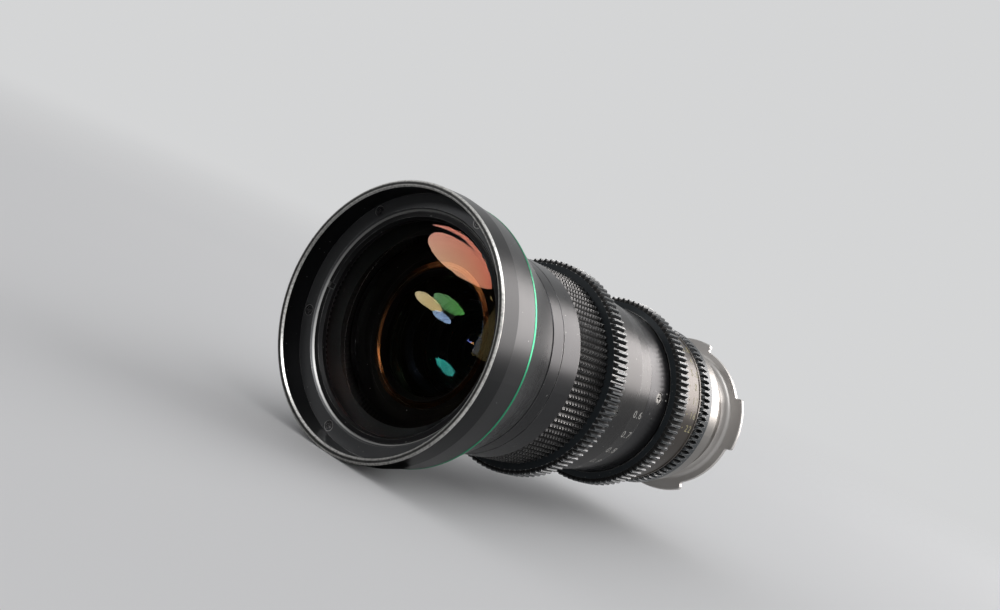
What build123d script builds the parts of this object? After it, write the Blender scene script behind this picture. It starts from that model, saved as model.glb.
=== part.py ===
from build123d import *
from math import atan2, cos, degrees, pi, radians, sin, sqrt, tan
import os

# Cinema zoom lens. The optical axis is Y: the front glass looks along -Y, the camera mount is at +Y,
# and +Z is up. The origin is on the axis in the plane of the mount's seat. All sizes are millimetres.

os.makedirs("parts", exist_ok=True)

# Stations along the optical axis, measured back from the front rim
SEAT = 198.5
LIP, RIM_CYLINDER_END = 0.6, 9.0
BEZEL_FRONT, BEZEL_BACK = 9.5, 12.5
RETAINER_FRONT, GLASS_SEAT, GLASS_BACK = 10.4, 13.6, 22.0
HOOD_END, SHOULDER_FRONT, SPIGOT_END = 20.9, 21.7, 23.5
SECOND_FRONT, SECOND_SEAT, SECOND_BACK = 26.6, 28.6, 36.0
SHOULDER_WEB, SHOULDER_END = 43.0, 46.0
BAND_FRONT, BAND_LINE, BAND_END = 46.6, 53.5, 64.9
GRIP_FRONT, GRIP_END = 65.3, 83.9
FOCUS_GEAR_END, SCALE_STEP, SLEEVE_END = 91.9, 111.6, 120.2
INDEX_FRONT, INDEX_END = 120.6, 135.6
ZOOM_FRONT, ZOOM_GEAR_END, ZOOM_END = 136.0, 143.9, 150.0
IRIS_FRONT, IRIS_GEAR_FRONT, IRIS_GEAR_END, IRIS_END = 150.5, 161.8, 169.2, 170.7
REAR_FRONT, REAR_STEP, REAR_END = 171.0, 181.0, 190.8
FLANGE_FRONT, PLATE_FRONT = 191.0, 196.7
SPIGOT_LENGTH = 7.0

# Break of a turned corner, and how far a cutter runs past the face that it opens
EDGE, OVERRUN = 0.3, 0.3

# Radii of the outside, from the front to the back
RIM_RADIUS, RIM_BREAK, HOOD_REAR_RADIUS = 50.0, 0.5, 48.4
HOOD_BORE, BEZEL_INNER, BEZEL_CHAMFER, CELL_SEAT, JOINT_RADIUS = 47.6, 41.4, 1.1, 43.2, 45.6
FRONT_GLASS_RADIUS, FRONT_GLASS_CLEAR = 41.2, 38.6
SECOND_GLASS_RADIUS, SECOND_GLASS_CLEAR, CELL_TAIL = 27.4, 22.6, 33.0
SHOULDER_REAR_RADIUS, BAND_RADIUS, BAND_REAR_RADIUS = 38.75, 38.35, 38.0
GRIP_RADIUS, GRIP_REAR_RADIUS = 37.95, 37.8
SLEEVE_RADIUS, SLEEVE_STEP_RADIUS, SLEEVE_REAR_RADIUS = 36.7, 35.9, 34.8
INDEX_RADIUS, INDEX_REAR_RADIUS = 34.3, 33.7
ZOOM_SCALE_RADIUS, IRIS_SCALE_RADIUS = 34.2, 33.3
REAR_RADIUS, NECK_RADIUS = 31.6, 26.6

# Camera mount: four tabs round a 54 mm spigot
SPIGOT_RADIUS, SPIGOT_BORE, SPIGOT_CHAMFER = 27.0, 24.9, 0.6
TAB_RADIUS, RECESS_RADIUS, TABS, TAB_ARC = 33.35, 30.5, 4, 40
TAB_CORNER, RECESS_CORNER, NECK_FILLET = 1.6, 1.1, 1.9
NOTCH_WIDTH, NOTCH_DEPTH = 3.2, 2.6

# Follow-focus gears, module 0.8
MODULE, PRESSURE_ANGLE = 0.8, 20
FOCUS_TEETH, ZOOM_TEETH, IRIS_TEETH = 103, 94, 82

# Grip: rows of small pyramids, in a straight grid
KNURL_ROWS, KNURL_COLUMNS, KNURL_DEPTH = 92, 10, 0.95

# Fixed barrel, the guide tube inside it, and the play of each running fit
PLAY = 0.06
BARREL_RADIUS, BARREL_BORE, BARREL_WEB = 31.5, 29.2, 148.0
REAR_TUBE_RADIUS, REAR_TUBE_BORE, REAR_TUBE_END = 28.8, 26.8, 176.0
GUIDE_RADIUS, GUIDE_BORE, GUIDE_END = 26.0, 24.0, 145.0
CAM_TUBE_RADIUS, CELL_RADIUS = 28.6, 23.94
FOCUS_GLASS_RADIUS, VARIATOR_GLASS_RADIUS, COMPENSATOR_GLASS_RADIUS = 21.4, 18.0, 16.0

# Turns of the three rings in degrees, the travels that they drive, and the cam pins at rest. The
# zoom ring turns forwards from rest and the focus ring backwards. The iris ring closes backwards,
# and at rest it has turned most of the way to closed.
FOCUS_TURN, ZOOM_TURN, IRIS_TURN, IRIS_CLOSED = 150, 100, 60, 46
FOCUS_TRAVEL, VARIATOR_TRAVEL, COMPENSATOR_TRAVEL = -10.0, 30.0, -7.0
FOCUS_PIN, VARIATOR_PIN, COMPENSATOR_PIN = 65.0, 84.0, 134.0
FOCUS_PINS, ZOOM_PINS = 2, 3
PIN_DIAMETER, SLOT_WIDTH = 4.0, 4.6

# Drive keys, which join the outer rings to the cam parts inside through windows in the barrel
KEY_WIDTH, WINDOW_MARGIN, WINDOW_ROOM = 8.0, 11, 0.5
FOCUS_KEY, ZOOM_KEY, IRIS_KEY = (72.0, 76.0), (139.0, 143.0), (152.3, 154.5)
KEY_GROOVE, GRIP_BORE, IRIS_GROOVE = 33.0, 33.6, 30.6

# Iris: six blades, each on its own pivot and driven by a pin in a curved slot
BLADES, BLADE_TURN = 6, 27
PIVOT_CIRCLE, DRIVE_OFFSET, BLADE_INNER, BLADE_OUTER = 21.0, 5.0, 13.5, 19.0
BLADE_ARC, BLADE_THICKNESS, BLADE_PITCH, FIRST_BLADE = 118, 0.3, 0.65, 155.4
PIVOT_PIN, DRIVE_PIN, DRIVE_SLOT = 1.6, 1.2, 1.8
CAM_RING_FRONT, CAM_RING_BACK, CAM_RING_RADIUS = 152.0, 154.8, 25.34
HOUSING_FRONT, HOUSING_PLATE, HOUSING_BACK, HOUSING_BORE = 151.0, 160.0, 162.0, 25.4

# Fasteners
BEZEL_SCREWS, BEZEL_SCREW_CIRCLE = 6, 45.3
BEZEL_SCREW_HEAD, BEZEL_SCREW_SHANK, BEZEL_SCREW_LENGTH = 4.0, 1.8, 7.0
BARREL_SCREWS, INDEX_SCREW_STATION, SLEEVE_SCREW_STATION = 3, 129.0, 98.6
SHANK_RADIUS, SLEEVE_HEAD_RADIUS, INDEX_HEAD_RADIUS = 1.0, 2.1, 2.2
SLEEVE_POCKET_RADIUS, INDEX_POCKET_RADIUS, POCKET_REACH = 2.6, 2.3, 3.0

# Clocking about the axis, in degrees from +Z towards +X
INDEX_ANGLE, KEY_ANGLE, SLEEVE_SCREW_ANGLE = 75, 180, 91


def at(station):
    """Y coordinate of a station."""
    return station - SEAT


def outline(*points):
    """Sketch points of a turned outline, from (station, radius) pairs."""
    return [(radius, at(station)) for station, radius in points]


def across(station):
    """Plane square to the axis, on which polar angles run from +Z towards +X."""
    return Plane(origin=(0, at(station), 0), x_dir=(0, 0, 1), z_dir=(0, 1, 0))


def facing(station, angle, radius=0.0):
    """Plane that faces outwards from the axis, with its own X along the lens towards the mount."""
    outward = Vector(sin(radians(angle)), 0, cos(radians(angle)))
    return Plane(origin=outward * radius + Vector(0, at(station), 0), x_dir=(0, 1, 0), z_dir=outward)


def sag(curve, radius):
    """Depth of a spherical face at a radius; a positive curve bends back towards the mount."""
    depth = sqrt(curve**2 - radius**2)
    return curve - depth if curve > 0 else curve + depth


def toothed(teeth):
    """Corners of a spur gear whose flanks are straight, at the pressure angle."""
    pitch_radius = teeth * MODULE / 2
    flank = tan(radians(PRESSURE_ANGLE))
    tip, root = pitch_radius + MODULE, pitch_radius - 1.25 * MODULE
    tip_half = (pi * MODULE / 4 - MODULE * flank) / tip
    root_half = (pi * MODULE / 4 + 1.25 * MODULE * flank) / root
    corners = []
    for tooth in range(teeth):
        middle = 2 * pi * tooth / teeth
        for radius, offset in ((root, -root_half), (tip, -tip_half), (tip, tip_half), (root, root_half)):
            corners.append((radius * cos(middle + offset), radius * sin(middle + offset)))
    return corners


def ridged(ridges, tip):
    """Corners of a ring of sharp ridges."""
    corners = []
    for ridge in range(ridges):
        for radius, place in ((tip, ridge), (tip - KNURL_DEPTH, ridge + 0.5)):
            angle = 2 * pi * place / ridges
            corners.append((radius * cos(angle), radius * sin(angle)))
    return corners


def glass_element(apex, middle, curves, clear, seats, rim):
    """Glass: two spherical faces with a flat seat round each, and a ground cylindrical rim."""
    front, rear = at(apex), at(apex + middle)
    with BuildPart() as element:
        with BuildSketch():
            with BuildLine():
                front_edge = (clear[0], front + sag(curves[0], clear[0]))
                rear_edge = (clear[1], rear + sag(curves[1], clear[1]))
                front_mid = (clear[0] / 2, front + sag(curves[0], clear[0] / 2))
                rear_mid = (clear[1] / 2, rear + sag(curves[1], clear[1] / 2))
                ThreePointArc((0, front), front_mid, front_edge)
                Polyline(front_edge, (rim, at(seats[0])), (rim, at(seats[1])), rear_edge)
                ThreePointArc(rear_edge, rear_mid, (0, rear))
                Line((0, rear), (0, front))
            make_face()
        revolve(axis=Axis.Y)
    return element.part


def cross_head_screw(head, shank, depth, length):
    """Countersunk screw: the head's face on the XY plane, the shank below it, and a cross recess."""
    with BuildPart() as screw:
        with BuildSketch(Plane.XZ):
            Polygon((0, 0), (head / 2, 0), (shank / 2, -depth), (shank / 2, -length), (0, -length))
        revolve(axis=Axis.Z)
        with BuildSketch():
            Rectangle(head * 0.55, head * 0.14)
            Rectangle(head * 0.14, head * 0.55)
        extrude(amount=-depth * 0.6, mode=Mode.SUBTRACT)
    return screw.part


def cam_slot(front, back, turn, pin_angle, right_handed):
    """Cutter for a cam slot: a square-ended groove through the tube wall, along a helix."""
    radius = (GUIDE_RADIUS + CAM_TUBE_RADIUS) / 2
    travel = back - front
    margin = (SLOT_WIDTH / 2) * travel / sqrt(travel**2 + (radius * radians(turn)) ** 2)
    extra_turn = turn * margin / travel
    start_angle = pin_angle - turn - extra_turn if right_handed else pin_angle + extra_turn
    with BuildPart() as cutter:
        with BuildLine() as path:
            Helix(
                pitch=travel * 360 / turn,
                height=travel + 2 * margin,
                radius=radius,
                center=(0, at(front - margin), 0),
                direction=(0, 1, 0),
                lefthand=not right_handed,
            )
        start = path.line @ 0
        with BuildSketch(Plane(origin=start, x_dir=(0, 0, 1), z_dir=path.line % 0)):
            Rectangle(2 * (CAM_TUBE_RADIUS - GUIDE_RADIUS), SLOT_WIDTH)
        sweep(is_frenet=True)
    return cutter.part.rotate(Axis.Y, start_angle)


# The hood is the wide front of the lens: a turned aluminium shell with a straight rim that takes
# clamp-on accessories, a deep bore, and a ledge inside that carries the bezel.
with BuildPart() as hood:
    with BuildSketch():
        Polygon(
            outline(
                (0, HOOD_BORE + RIM_BREAK),
                (0, RIM_RADIUS - RIM_BREAK),
                (LIP, RIM_RADIUS),
                (RIM_CYLINDER_END, RIM_RADIUS),
                (HOOD_END, HOOD_REAR_RADIUS),
                (HOOD_END, JOINT_RADIUS),
                (SPIGOT_END, JOINT_RADIUS),
                (SPIGOT_END, CELL_SEAT),
                (BEZEL_BACK, CELL_SEAT),
                (BEZEL_BACK, HOOD_BORE),
                (LIP, HOOD_BORE),
            )
        )
    revolve(axis=Axis.Y)
    with BuildSketch(across(BEZEL_BACK)):
        with PolarLocations(BEZEL_SCREW_CIRCLE, BEZEL_SCREWS, start_angle=INDEX_ANGLE):
            Circle(BEZEL_SCREW_SHANK / 2)
    extrude(amount=BEZEL_FRONT + BEZEL_SCREW_LENGTH + 0.5 - BEZEL_BACK, mode=Mode.SUBTRACT)
hood.part.label = "hood"
export_step(hood.part, "parts/hood.step")

# The bezel is a flat ring on the hood's ledge, with a bright chamfer at its bore.
with BuildPart() as bezel:
    with BuildSketch():
        Polygon(
            outline(
                (BEZEL_FRONT, HOOD_BORE),
                (BEZEL_BACK, HOOD_BORE),
                (BEZEL_BACK, BEZEL_INNER),
                (BEZEL_FRONT + BEZEL_CHAMFER, BEZEL_INNER),
                (BEZEL_FRONT, BEZEL_INNER + BEZEL_CHAMFER),
            )
        )
    revolve(axis=Axis.Y)
    with Locations(Plane(origin=(0, at(BEZEL_FRONT), 0), x_dir=(0, 0, 1), z_dir=(0, -1, 0))):
        with PolarLocations(BEZEL_SCREW_CIRCLE, BEZEL_SCREWS, start_angle=-INDEX_ANGLE):
            CounterSinkHole(
                radius=BEZEL_SCREW_SHANK / 2,
                counter_sink_radius=BEZEL_SCREW_HEAD / 2,
                counter_sink_angle=90,
            )
bezel.part.label = "front_bezel"
export_step(bezel.part, "parts/front_bezel.step")

# Six cross-head screws hold the bezel. They are one node, as identical fasteners.
bezel_screw = cross_head_screw(BEZEL_SCREW_HEAD, BEZEL_SCREW_SHANK, 1.1, BEZEL_SCREW_LENGTH)
with BuildPart() as bezel_screws:
    with Locations(Plane(origin=(0, at(BEZEL_FRONT), 0), x_dir=(0, 0, 1), z_dir=(0, -1, 0))):
        with PolarLocations(BEZEL_SCREW_CIRCLE, BEZEL_SCREWS, start_angle=-INDEX_ANGLE):
            add(bezel_screw)
bezel_screws.part.label = "bezel_screws"
export_step(bezel_screws.part, "parts/bezel_screws.step")

# The front cell holds the first two elements. Its inside is a dark cone between them.
CONE_RADIUS, CELL_TAIL_FRONT = 36.6, 38.0
with BuildPart() as front_cell:
    with BuildSketch():
        Polygon(
            outline(
                (BEZEL_BACK, FRONT_GLASS_RADIUS),
                (BEZEL_BACK, CELL_SEAT),
                (SPIGOT_END, CELL_SEAT),
                (CELL_TAIL_FRONT, CELL_TAIL),
                (SHOULDER_END, CELL_TAIL),
                (SHOULDER_END, SECOND_GLASS_CLEAR),
                (SECOND_BACK, SECOND_GLASS_CLEAR),
                (SECOND_BACK, SECOND_GLASS_RADIUS),
                (SECOND_FRONT, SECOND_GLASS_RADIUS),
                (GLASS_BACK, CONE_RADIUS),
                (GLASS_BACK, FRONT_GLASS_RADIUS),
            )
        )
    revolve(axis=Axis.Y)
front_cell.part.label = "front_cell"
export_step(front_cell.part, "parts/front_cell.step")

# The front glass is a large weak meniscus, bulging towards the subject.
front_glass = glass_element(
    apex=8.6, middle=4.6, curves=(150, 82), clear=(FRONT_GLASS_CLEAR, 36.2),
    seats=(GLASS_SEAT, GLASS_BACK), rim=FRONT_GLASS_RADIUS,
)
front_glass.label = "front_glass"
export_step(front_glass, "parts/front_glass.step")

# The front retainer is a threaded ring with two spanner slots.
with BuildPart() as front_retainer:
    with BuildSketch():
        Polygon(
            outline(
                (RETAINER_FRONT, FRONT_GLASS_CLEAR + 0.9),
                (RETAINER_FRONT, FRONT_GLASS_RADIUS),
                (GLASS_SEAT, FRONT_GLASS_RADIUS),
                (GLASS_SEAT, FRONT_GLASS_CLEAR + 0.1),
                (RETAINER_FRONT + 1.4, FRONT_GLASS_CLEAR + 0.1),
            )
        )
    revolve(axis=Axis.Y)
    with BuildSketch(across(RETAINER_FRONT)):
        with PolarLocations((FRONT_GLASS_CLEAR + FRONT_GLASS_RADIUS) / 2, 2, start_angle=KEY_ANGLE + 90):
            Rectangle(4.0, 2.0)
    extrude(amount=1.2, mode=Mode.SUBTRACT)
front_retainer.part.label = "front_retainer"
export_step(front_retainer.part, "parts/front_retainer.step")

# The second element sits behind the cone, under its own retainer.
second_glass = glass_element(
    apex=24.0, middle=4.0, curves=(60, 36), clear=(24.6, SECOND_GLASS_CLEAR),
    seats=(SECOND_SEAT, SECOND_BACK), rim=SECOND_GLASS_RADIUS,
)
second_glass.label = "second_glass"
export_step(second_glass, "parts/second_glass.step")

with BuildPart() as second_retainer:
    with BuildSketch():
        Polygon(
            outline(
                (SECOND_FRONT, 25.6),
                (SECOND_FRONT, SECOND_GLASS_RADIUS),
                (SECOND_SEAT, SECOND_GLASS_RADIUS),
                (SECOND_SEAT, 25.0),
                (SECOND_FRONT + 0.8, 25.0),
            )
        )
    revolve(axis=Axis.Y)
second_retainer.part.label = "second_retainer"
export_step(second_retainer.part, "parts/second_retainer.step")

# The thin coloured ring is clamped between the hood and the shoulder.
with BuildPart() as colour_ring:
    with BuildSketch():
        Polygon(
            outline(
                (HOOD_END, JOINT_RADIUS),
                (HOOD_END, HOOD_REAR_RADIUS + 0.08),
                (SHOULDER_FRONT, HOOD_REAR_RADIUS + 0.08),
                (SHOULDER_FRONT, JOINT_RADIUS),
            )
        )
    revolve(axis=Axis.Y)
colour_ring.part.label = "colour_ring"
export_step(colour_ring.part, "parts/colour_ring.step")

# The shoulder is the cone from the wide hood down to the barrel, with a web at its back.
SHOULDER_WALL = 2.4
with BuildPart() as shoulder:
    with BuildSketch():
        Polygon(
            outline(
                (SHOULDER_FRONT, JOINT_RADIUS),
                (SHOULDER_FRONT, HOOD_REAR_RADIUS - 0.1),
                (SHOULDER_END - 0.4, SHOULDER_REAR_RADIUS),
                (SHOULDER_END, SHOULDER_REAR_RADIUS - 0.4),
                (SHOULDER_END, CELL_TAIL),
                (SHOULDER_WEB, CELL_TAIL),
                (SHOULDER_WEB, SHOULDER_REAR_RADIUS + 1.2 - SHOULDER_WALL),
                (SPIGOT_END, HOOD_REAR_RADIUS - 0.8 - SHOULDER_WALL),
                (SPIGOT_END, JOINT_RADIUS),
            )
        )
    revolve(axis=Axis.Y)
shoulder.part.label = "shoulder"
export_step(shoulder.part, "parts/shoulder.step")

# The main barrel is the fixed tube that everything else runs on: a front flange, a tube with
# windows for the focus and zoom keys, a web, and a narrower rear tube with the iris window.
FLANGE_BACK, FLANGE_RADIUS = 50.2, 36.0
with BuildPart() as main_barrel:
    with BuildSketch():
        Polygon(
            outline(
                (SHOULDER_END, BARREL_BORE),
                (SHOULDER_END, FLANGE_RADIUS),
                (FLANGE_BACK, FLANGE_RADIUS),
                (FLANGE_BACK, BARREL_RADIUS),
                (ZOOM_END, BARREL_RADIUS),
                (ZOOM_END, REAR_TUBE_RADIUS),
                (REAR_TUBE_END, REAR_TUBE_RADIUS),
                (REAR_TUBE_END, REAR_TUBE_BORE),
                (BARREL_WEB, REAR_TUBE_BORE),
                (BARREL_WEB, GUIDE_BORE),
                (GUIDE_END, GUIDE_BORE),
                (GUIDE_END, BARREL_BORE),
            )
        )
    revolve(axis=Axis.Y)
    for key, first, turn, inner, outer in (
        (FOCUS_KEY, -FOCUS_TURN, FOCUS_TURN, BARREL_BORE, BARREL_RADIUS),
        (ZOOM_KEY, 0, ZOOM_TURN, BARREL_BORE, BARREL_RADIUS),
        (IRIS_KEY, IRIS_CLOSED - IRIS_TURN, IRIS_TURN, REAR_TUBE_BORE, REAR_TUBE_RADIUS),
    ):
        window_plane = Plane.XY.rotated((0, KEY_ANGLE + first - 90 - WINDOW_MARGIN, 0))
        with BuildSketch(window_plane):
            Polygon(
                outline(
                    (key[0] - WINDOW_ROOM, inner - WINDOW_ROOM),
                    (key[1] + WINDOW_ROOM, inner - WINDOW_ROOM),
                    (key[1] + WINDOW_ROOM, outer + WINDOW_ROOM),
                    (key[0] - WINDOW_ROOM, outer + WINDOW_ROOM),
                )
            )
        revolve(axis=Axis.Y, revolution_arc=turn + 2 * WINDOW_MARGIN, mode=Mode.SUBTRACT)
main_barrel.part.label = "main_barrel"
export_step(main_barrel.part, "parts/main_barrel.step")

# The name band is the fixed front of the barrel; a fine groove runs round it.
with BuildPart() as name_band:
    with BuildSketch():
        Polygon(
            outline(
                (BAND_FRONT, FLANGE_RADIUS),
                (BAND_FRONT, BAND_RADIUS - EDGE),
                (BAND_FRONT + 0.4, BAND_RADIUS + 0.1),
                (BAND_LINE - EDGE, BAND_RADIUS),
                (BAND_LINE, BAND_RADIUS - 0.35),
                (BAND_LINE + EDGE, BAND_RADIUS),
                (BAND_END - EDGE, BAND_REAR_RADIUS),
                (BAND_END, BAND_REAR_RADIUS - EDGE),
                (BAND_END, FLANGE_RADIUS),
            )
        )
    revolve(axis=Axis.Y)
name_band.part.label = "name_band"
export_step(name_band.part, "parts/name_band.step")

# The guide tube carries the moving cells. Straight slots let their pins through to the cams.
with BuildPart() as guide_tube:
    with BuildSketch():
        Polygon(
            outline(
                (SHOULDER_END, GUIDE_BORE),
                (SHOULDER_END, BARREL_BORE),
                (FLANGE_BACK, BARREL_BORE),
                (FLANGE_BACK, GUIDE_RADIUS),
                (GUIDE_END, GUIDE_RADIUS),
                (GUIDE_END, GUIDE_BORE),
            )
        )
    revolve(axis=Axis.Y)
    for pin, travel, count, first in (
        (FOCUS_PIN, FOCUS_TRAVEL, FOCUS_PINS, INDEX_ANGLE),
        (VARIATOR_PIN, VARIATOR_TRAVEL, ZOOM_PINS, INDEX_ANGLE),
        (COMPENSATOR_PIN, COMPENSATOR_TRAVEL, ZOOM_PINS, INDEX_ANGLE + 60),
    ):
        for index in range(count):
            with BuildSketch(facing(pin + travel / 2, first + 360 * index / count, GUIDE_BORE - 1)):
                SlotOverall(abs(travel) + SLOT_WIDTH, SLOT_WIDTH)
            extrude(amount=GUIDE_RADIUS - GUIDE_BORE + 2, mode=Mode.SUBTRACT)
guide_tube.part.label = "guide_tube"
export_step(guide_tube.part, "parts/guide_tube.step")

# Focus grip: rows of small pyramids, made by ridges along the lens that grooves cut across.
GRIP_WEB_END, GRIP_SPIGOT, GRIP_SPIGOT_RADIUS = 69.6, 80.0, 35.0
with BuildPart() as focus_grip:
    for station, radius in ((GRIP_FRONT, GRIP_RADIUS), (GRIP_END, GRIP_REAR_RADIUS)):
        with BuildSketch(across(station)):
            Polygon(ridged(KNURL_ROWS, radius))
    loft(ruled=True)
    with BuildSketch():
        column = (GRIP_END - GRIP_FRONT) / KNURL_COLUMNS
        for groove in range(1, KNURL_COLUMNS):
            share = groove / KNURL_COLUMNS
            station = GRIP_FRONT + groove * column
            tip = GRIP_RADIUS + share * (GRIP_REAR_RADIUS - GRIP_RADIUS)
            Polygon(
                outline(
                    (station, tip - KNURL_DEPTH),
                    (station - column * 0.4, tip + 0.1),
                    (station + column * 0.4, tip + 0.1),
                )
            )
    revolve(axis=Axis.Y, mode=Mode.SUBTRACT)
    with BuildSketch():
        Polygon(
            outline(
                (GRIP_FRONT, 0),
                (GRIP_FRONT, BARREL_RADIUS + PLAY),
                (GRIP_WEB_END, BARREL_RADIUS + PLAY),
                (GRIP_WEB_END, GRIP_BORE),
                (GRIP_SPIGOT, GRIP_BORE),
                (GRIP_SPIGOT, GRIP_SPIGOT_RADIUS),
                (GRIP_END, GRIP_SPIGOT_RADIUS),
                (GRIP_END, 0),
            )
        )
    revolve(axis=Axis.Y, mode=Mode.SUBTRACT)
focus_grip.part.label = "focus_grip"
export_step(focus_grip.part, "parts/focus_grip.step")


# The focus and zoom gears are alike: a toothed rim, bevelled down to a plain ring at both ends.
def bevelled_gear(teeth, bore, front, back, front_bevel, back_bevel, rim):
    """Gear ring on the axis between two stations, with a bevel over the ends of its teeth."""
    tip = teeth * MODULE / 2 + MODULE
    with BuildPart() as gear:
        with BuildSketch(across(front)):
            Polygon(toothed(teeth))
        extrude(amount=back - front)
        with BuildSketch():
            Polygon(
                outline(
                    (front, bore),
                    (front, rim),
                    (front + front_bevel, tip + 0.1),
                    (back - back_bevel, tip + 0.1),
                    (back, rim),
                    (back, bore),
                )
            )
        revolve(axis=Axis.Y, mode=Mode.INTERSECT)
    return gear.part


SLEEVE_SEAT = 36.2
focus_gear = bevelled_gear(
    FOCUS_TEETH, SLEEVE_SEAT, GRIP_END, FOCUS_GEAR_END, front_bevel=0.8, back_bevel=0.9, rim=40.3
)
focus_gear.label = "focus_gear"
export_step(focus_gear, "parts/focus_gear.step")

# The focus sleeve carries the gear and the distance scale, and runs on the barrel at its back.
SLEEVE_BORE, SLEEVE_WEB, SLEEVE_POCKET = 34.0, 115.0, 35.4
with BuildPart() as focus_sleeve:
    with BuildSketch():
        Polygon(
            outline(
                (GRIP_SPIGOT, SLEEVE_BORE),
                (GRIP_SPIGOT, GRIP_SPIGOT_RADIUS),
                (GRIP_END, GRIP_SPIGOT_RADIUS),
                (GRIP_END, SLEEVE_SEAT),
                (FOCUS_GEAR_END, SLEEVE_SEAT),
                (FOCUS_GEAR_END, SLEEVE_RADIUS),
                (SCALE_STEP, SLEEVE_STEP_RADIUS),
                (SCALE_STEP + EDGE, SLEEVE_STEP_RADIUS - 0.5),
                (SLEEVE_END - EDGE, SLEEVE_REAR_RADIUS),
                (SLEEVE_END, SLEEVE_REAR_RADIUS - EDGE),
                (SLEEVE_END, BARREL_RADIUS + PLAY),
                (SLEEVE_WEB, BARREL_RADIUS + PLAY),
                (SLEEVE_WEB, SLEEVE_BORE),
            )
        )
    revolve(axis=Axis.Y)
    for screw in range(BARREL_SCREWS):
        angle = SLEEVE_SCREW_ANGLE + 360 * screw / BARREL_SCREWS
        with BuildSketch(facing(SLEEVE_SCREW_STATION, angle, SLEEVE_POCKET)):
            Circle(SLEEVE_POCKET_RADIUS)
        extrude(amount=POCKET_REACH, mode=Mode.SUBTRACT)
        with BuildSketch(facing(SLEEVE_SCREW_STATION, angle, SLEEVE_BORE - 1)):
            Circle(SHANK_RADIUS)
        extrude(amount=POCKET_REACH, mode=Mode.SUBTRACT)
focus_sleeve.part.label = "focus_sleeve"
export_step(focus_sleeve.part, "parts/focus_sleeve.step")

# Three slotted cheese-head screws in pockets lock the sleeve to the gear.
with BuildPart() as pocket_screw:
    Cylinder(SLEEVE_HEAD_RADIUS, 1.0, align=(Align.CENTER, Align.CENTER, Align.MIN))
    Cylinder(SHANK_RADIUS, 1.2, align=(Align.CENTER, Align.CENTER, Align.MAX))
    with BuildSketch(Plane.XY.offset(1.0)):
        Rectangle(2 * SLEEVE_HEAD_RADIUS + 0.2, 0.5)
    extrude(amount=-0.5, mode=Mode.SUBTRACT)
with BuildPart() as focus_sleeve_screws:
    for screw in range(BARREL_SCREWS):
        angle = SLEEVE_SCREW_ANGLE + 360 * screw / BARREL_SCREWS
        with Locations(facing(SLEEVE_SCREW_STATION, angle, SLEEVE_POCKET)):
            add(pocket_screw.part)
focus_sleeve_screws.part.label = "focus_sleeve_screws"
export_step(focus_sleeve_screws.part, "parts/focus_sleeve_screws.step")

# The focus cam is a short tube inside the barrel with two helical slots.
FOCUS_CAM_FRONT, FOCUS_CAM_BACK = 51.0, 77.4
with BuildPart() as focus_cam:
    with BuildSketch():
        Polygon(
            outline(
                (FOCUS_CAM_FRONT, GUIDE_RADIUS + PLAY),
                (FOCUS_CAM_FRONT, CAM_TUBE_RADIUS),
                (FOCUS_CAM_BACK, CAM_TUBE_RADIUS),
                (FOCUS_CAM_BACK, GUIDE_RADIUS + PLAY),
            )
        )
    revolve(axis=Axis.Y)
    for pin in range(FOCUS_PINS):
        angle = INDEX_ANGLE + 360 * pin / FOCUS_PINS + FOCUS_TURN
        add(cam_slot(FOCUS_PIN + FOCUS_TRAVEL, FOCUS_PIN, FOCUS_TURN, angle, False), mode=Mode.SUBTRACT)
focus_cam.part.label = "focus_cam"
export_step(focus_cam.part, "parts/focus_cam.step")


# A drive key is a small block from a cam part out to its ring, through the barrel's window.
def drive_key(stations, inner, outer):
    """Key between two radii, its ends turned to the cam part's and the ring's own radius."""
    with BuildPart() as key:
        with BuildSketch(Plane.XY.rotated((0, KEY_ANGLE - 90, 0))):
            front, back = stations
            Polygon(outline((front, inner), (back, inner), (back, outer), (front, outer)))
        revolve(axis=Axis.Y)
        with BuildSketch(facing((front + back) / 2, KEY_ANGLE)):
            Rectangle(back - front + 2, KEY_WIDTH)
        extrude(amount=outer + 2, mode=Mode.INTERSECT)
    return key.part


focus_key = drive_key(FOCUS_KEY, CAM_TUBE_RADIUS, GRIP_BORE)
focus_key.label = "focus_key"
export_step(focus_key, "parts/focus_key.step")


# A moving cell is a sleeve that slides in the guide tube. Pins pressed into its wall reach out
# through the guide tube's straight slots into the cam slots.
PIN_ROOT, PIN_END = 22.2, 28.4


def cam_pins(station, count, first):
    """Pins round a cell."""
    with BuildPart() as pins:
        for pin in range(count):
            with BuildSketch(facing(station, first + 360 * pin / count, PIN_ROOT)):
                Circle(PIN_DIAMETER / 2)
            extrude(amount=PIN_END - PIN_ROOT)
    return pins.part


def cell(front, back, bore, pins):
    """Cell between two stations, bored for its glass and drilled for its pins."""
    with BuildPart() as sleeve:
        with BuildSketch():
            Polygon(outline((front, bore), (front, CELL_RADIUS), (back, CELL_RADIUS), (back, bore)))
        revolve(axis=Axis.Y)
        add(pins, mode=Mode.SUBTRACT)
    return sleeve.part


focus_pins = cam_pins(FOCUS_PIN, FOCUS_PINS, INDEX_ANGLE)
focus_pins.label = "focus_pins"
export_step(focus_pins, "parts/focus_pins.step")

focus_cell = cell(front=57.0, back=71.0, bore=FOCUS_GLASS_RADIUS, pins=focus_pins)
focus_cell.label = "focus_cell"
export_step(focus_cell, "parts/focus_cell.step")

focus_glass_front = glass_element(
    apex=58.2, middle=3.0, curves=(-160, 44), clear=(19.6, 18.4),
    seats=(57.6, 64.6), rim=FOCUS_GLASS_RADIUS,
)
focus_glass_front.label = "focus_glass_front"
export_step(focus_glass_front, "parts/focus_glass_front.step")

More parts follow.
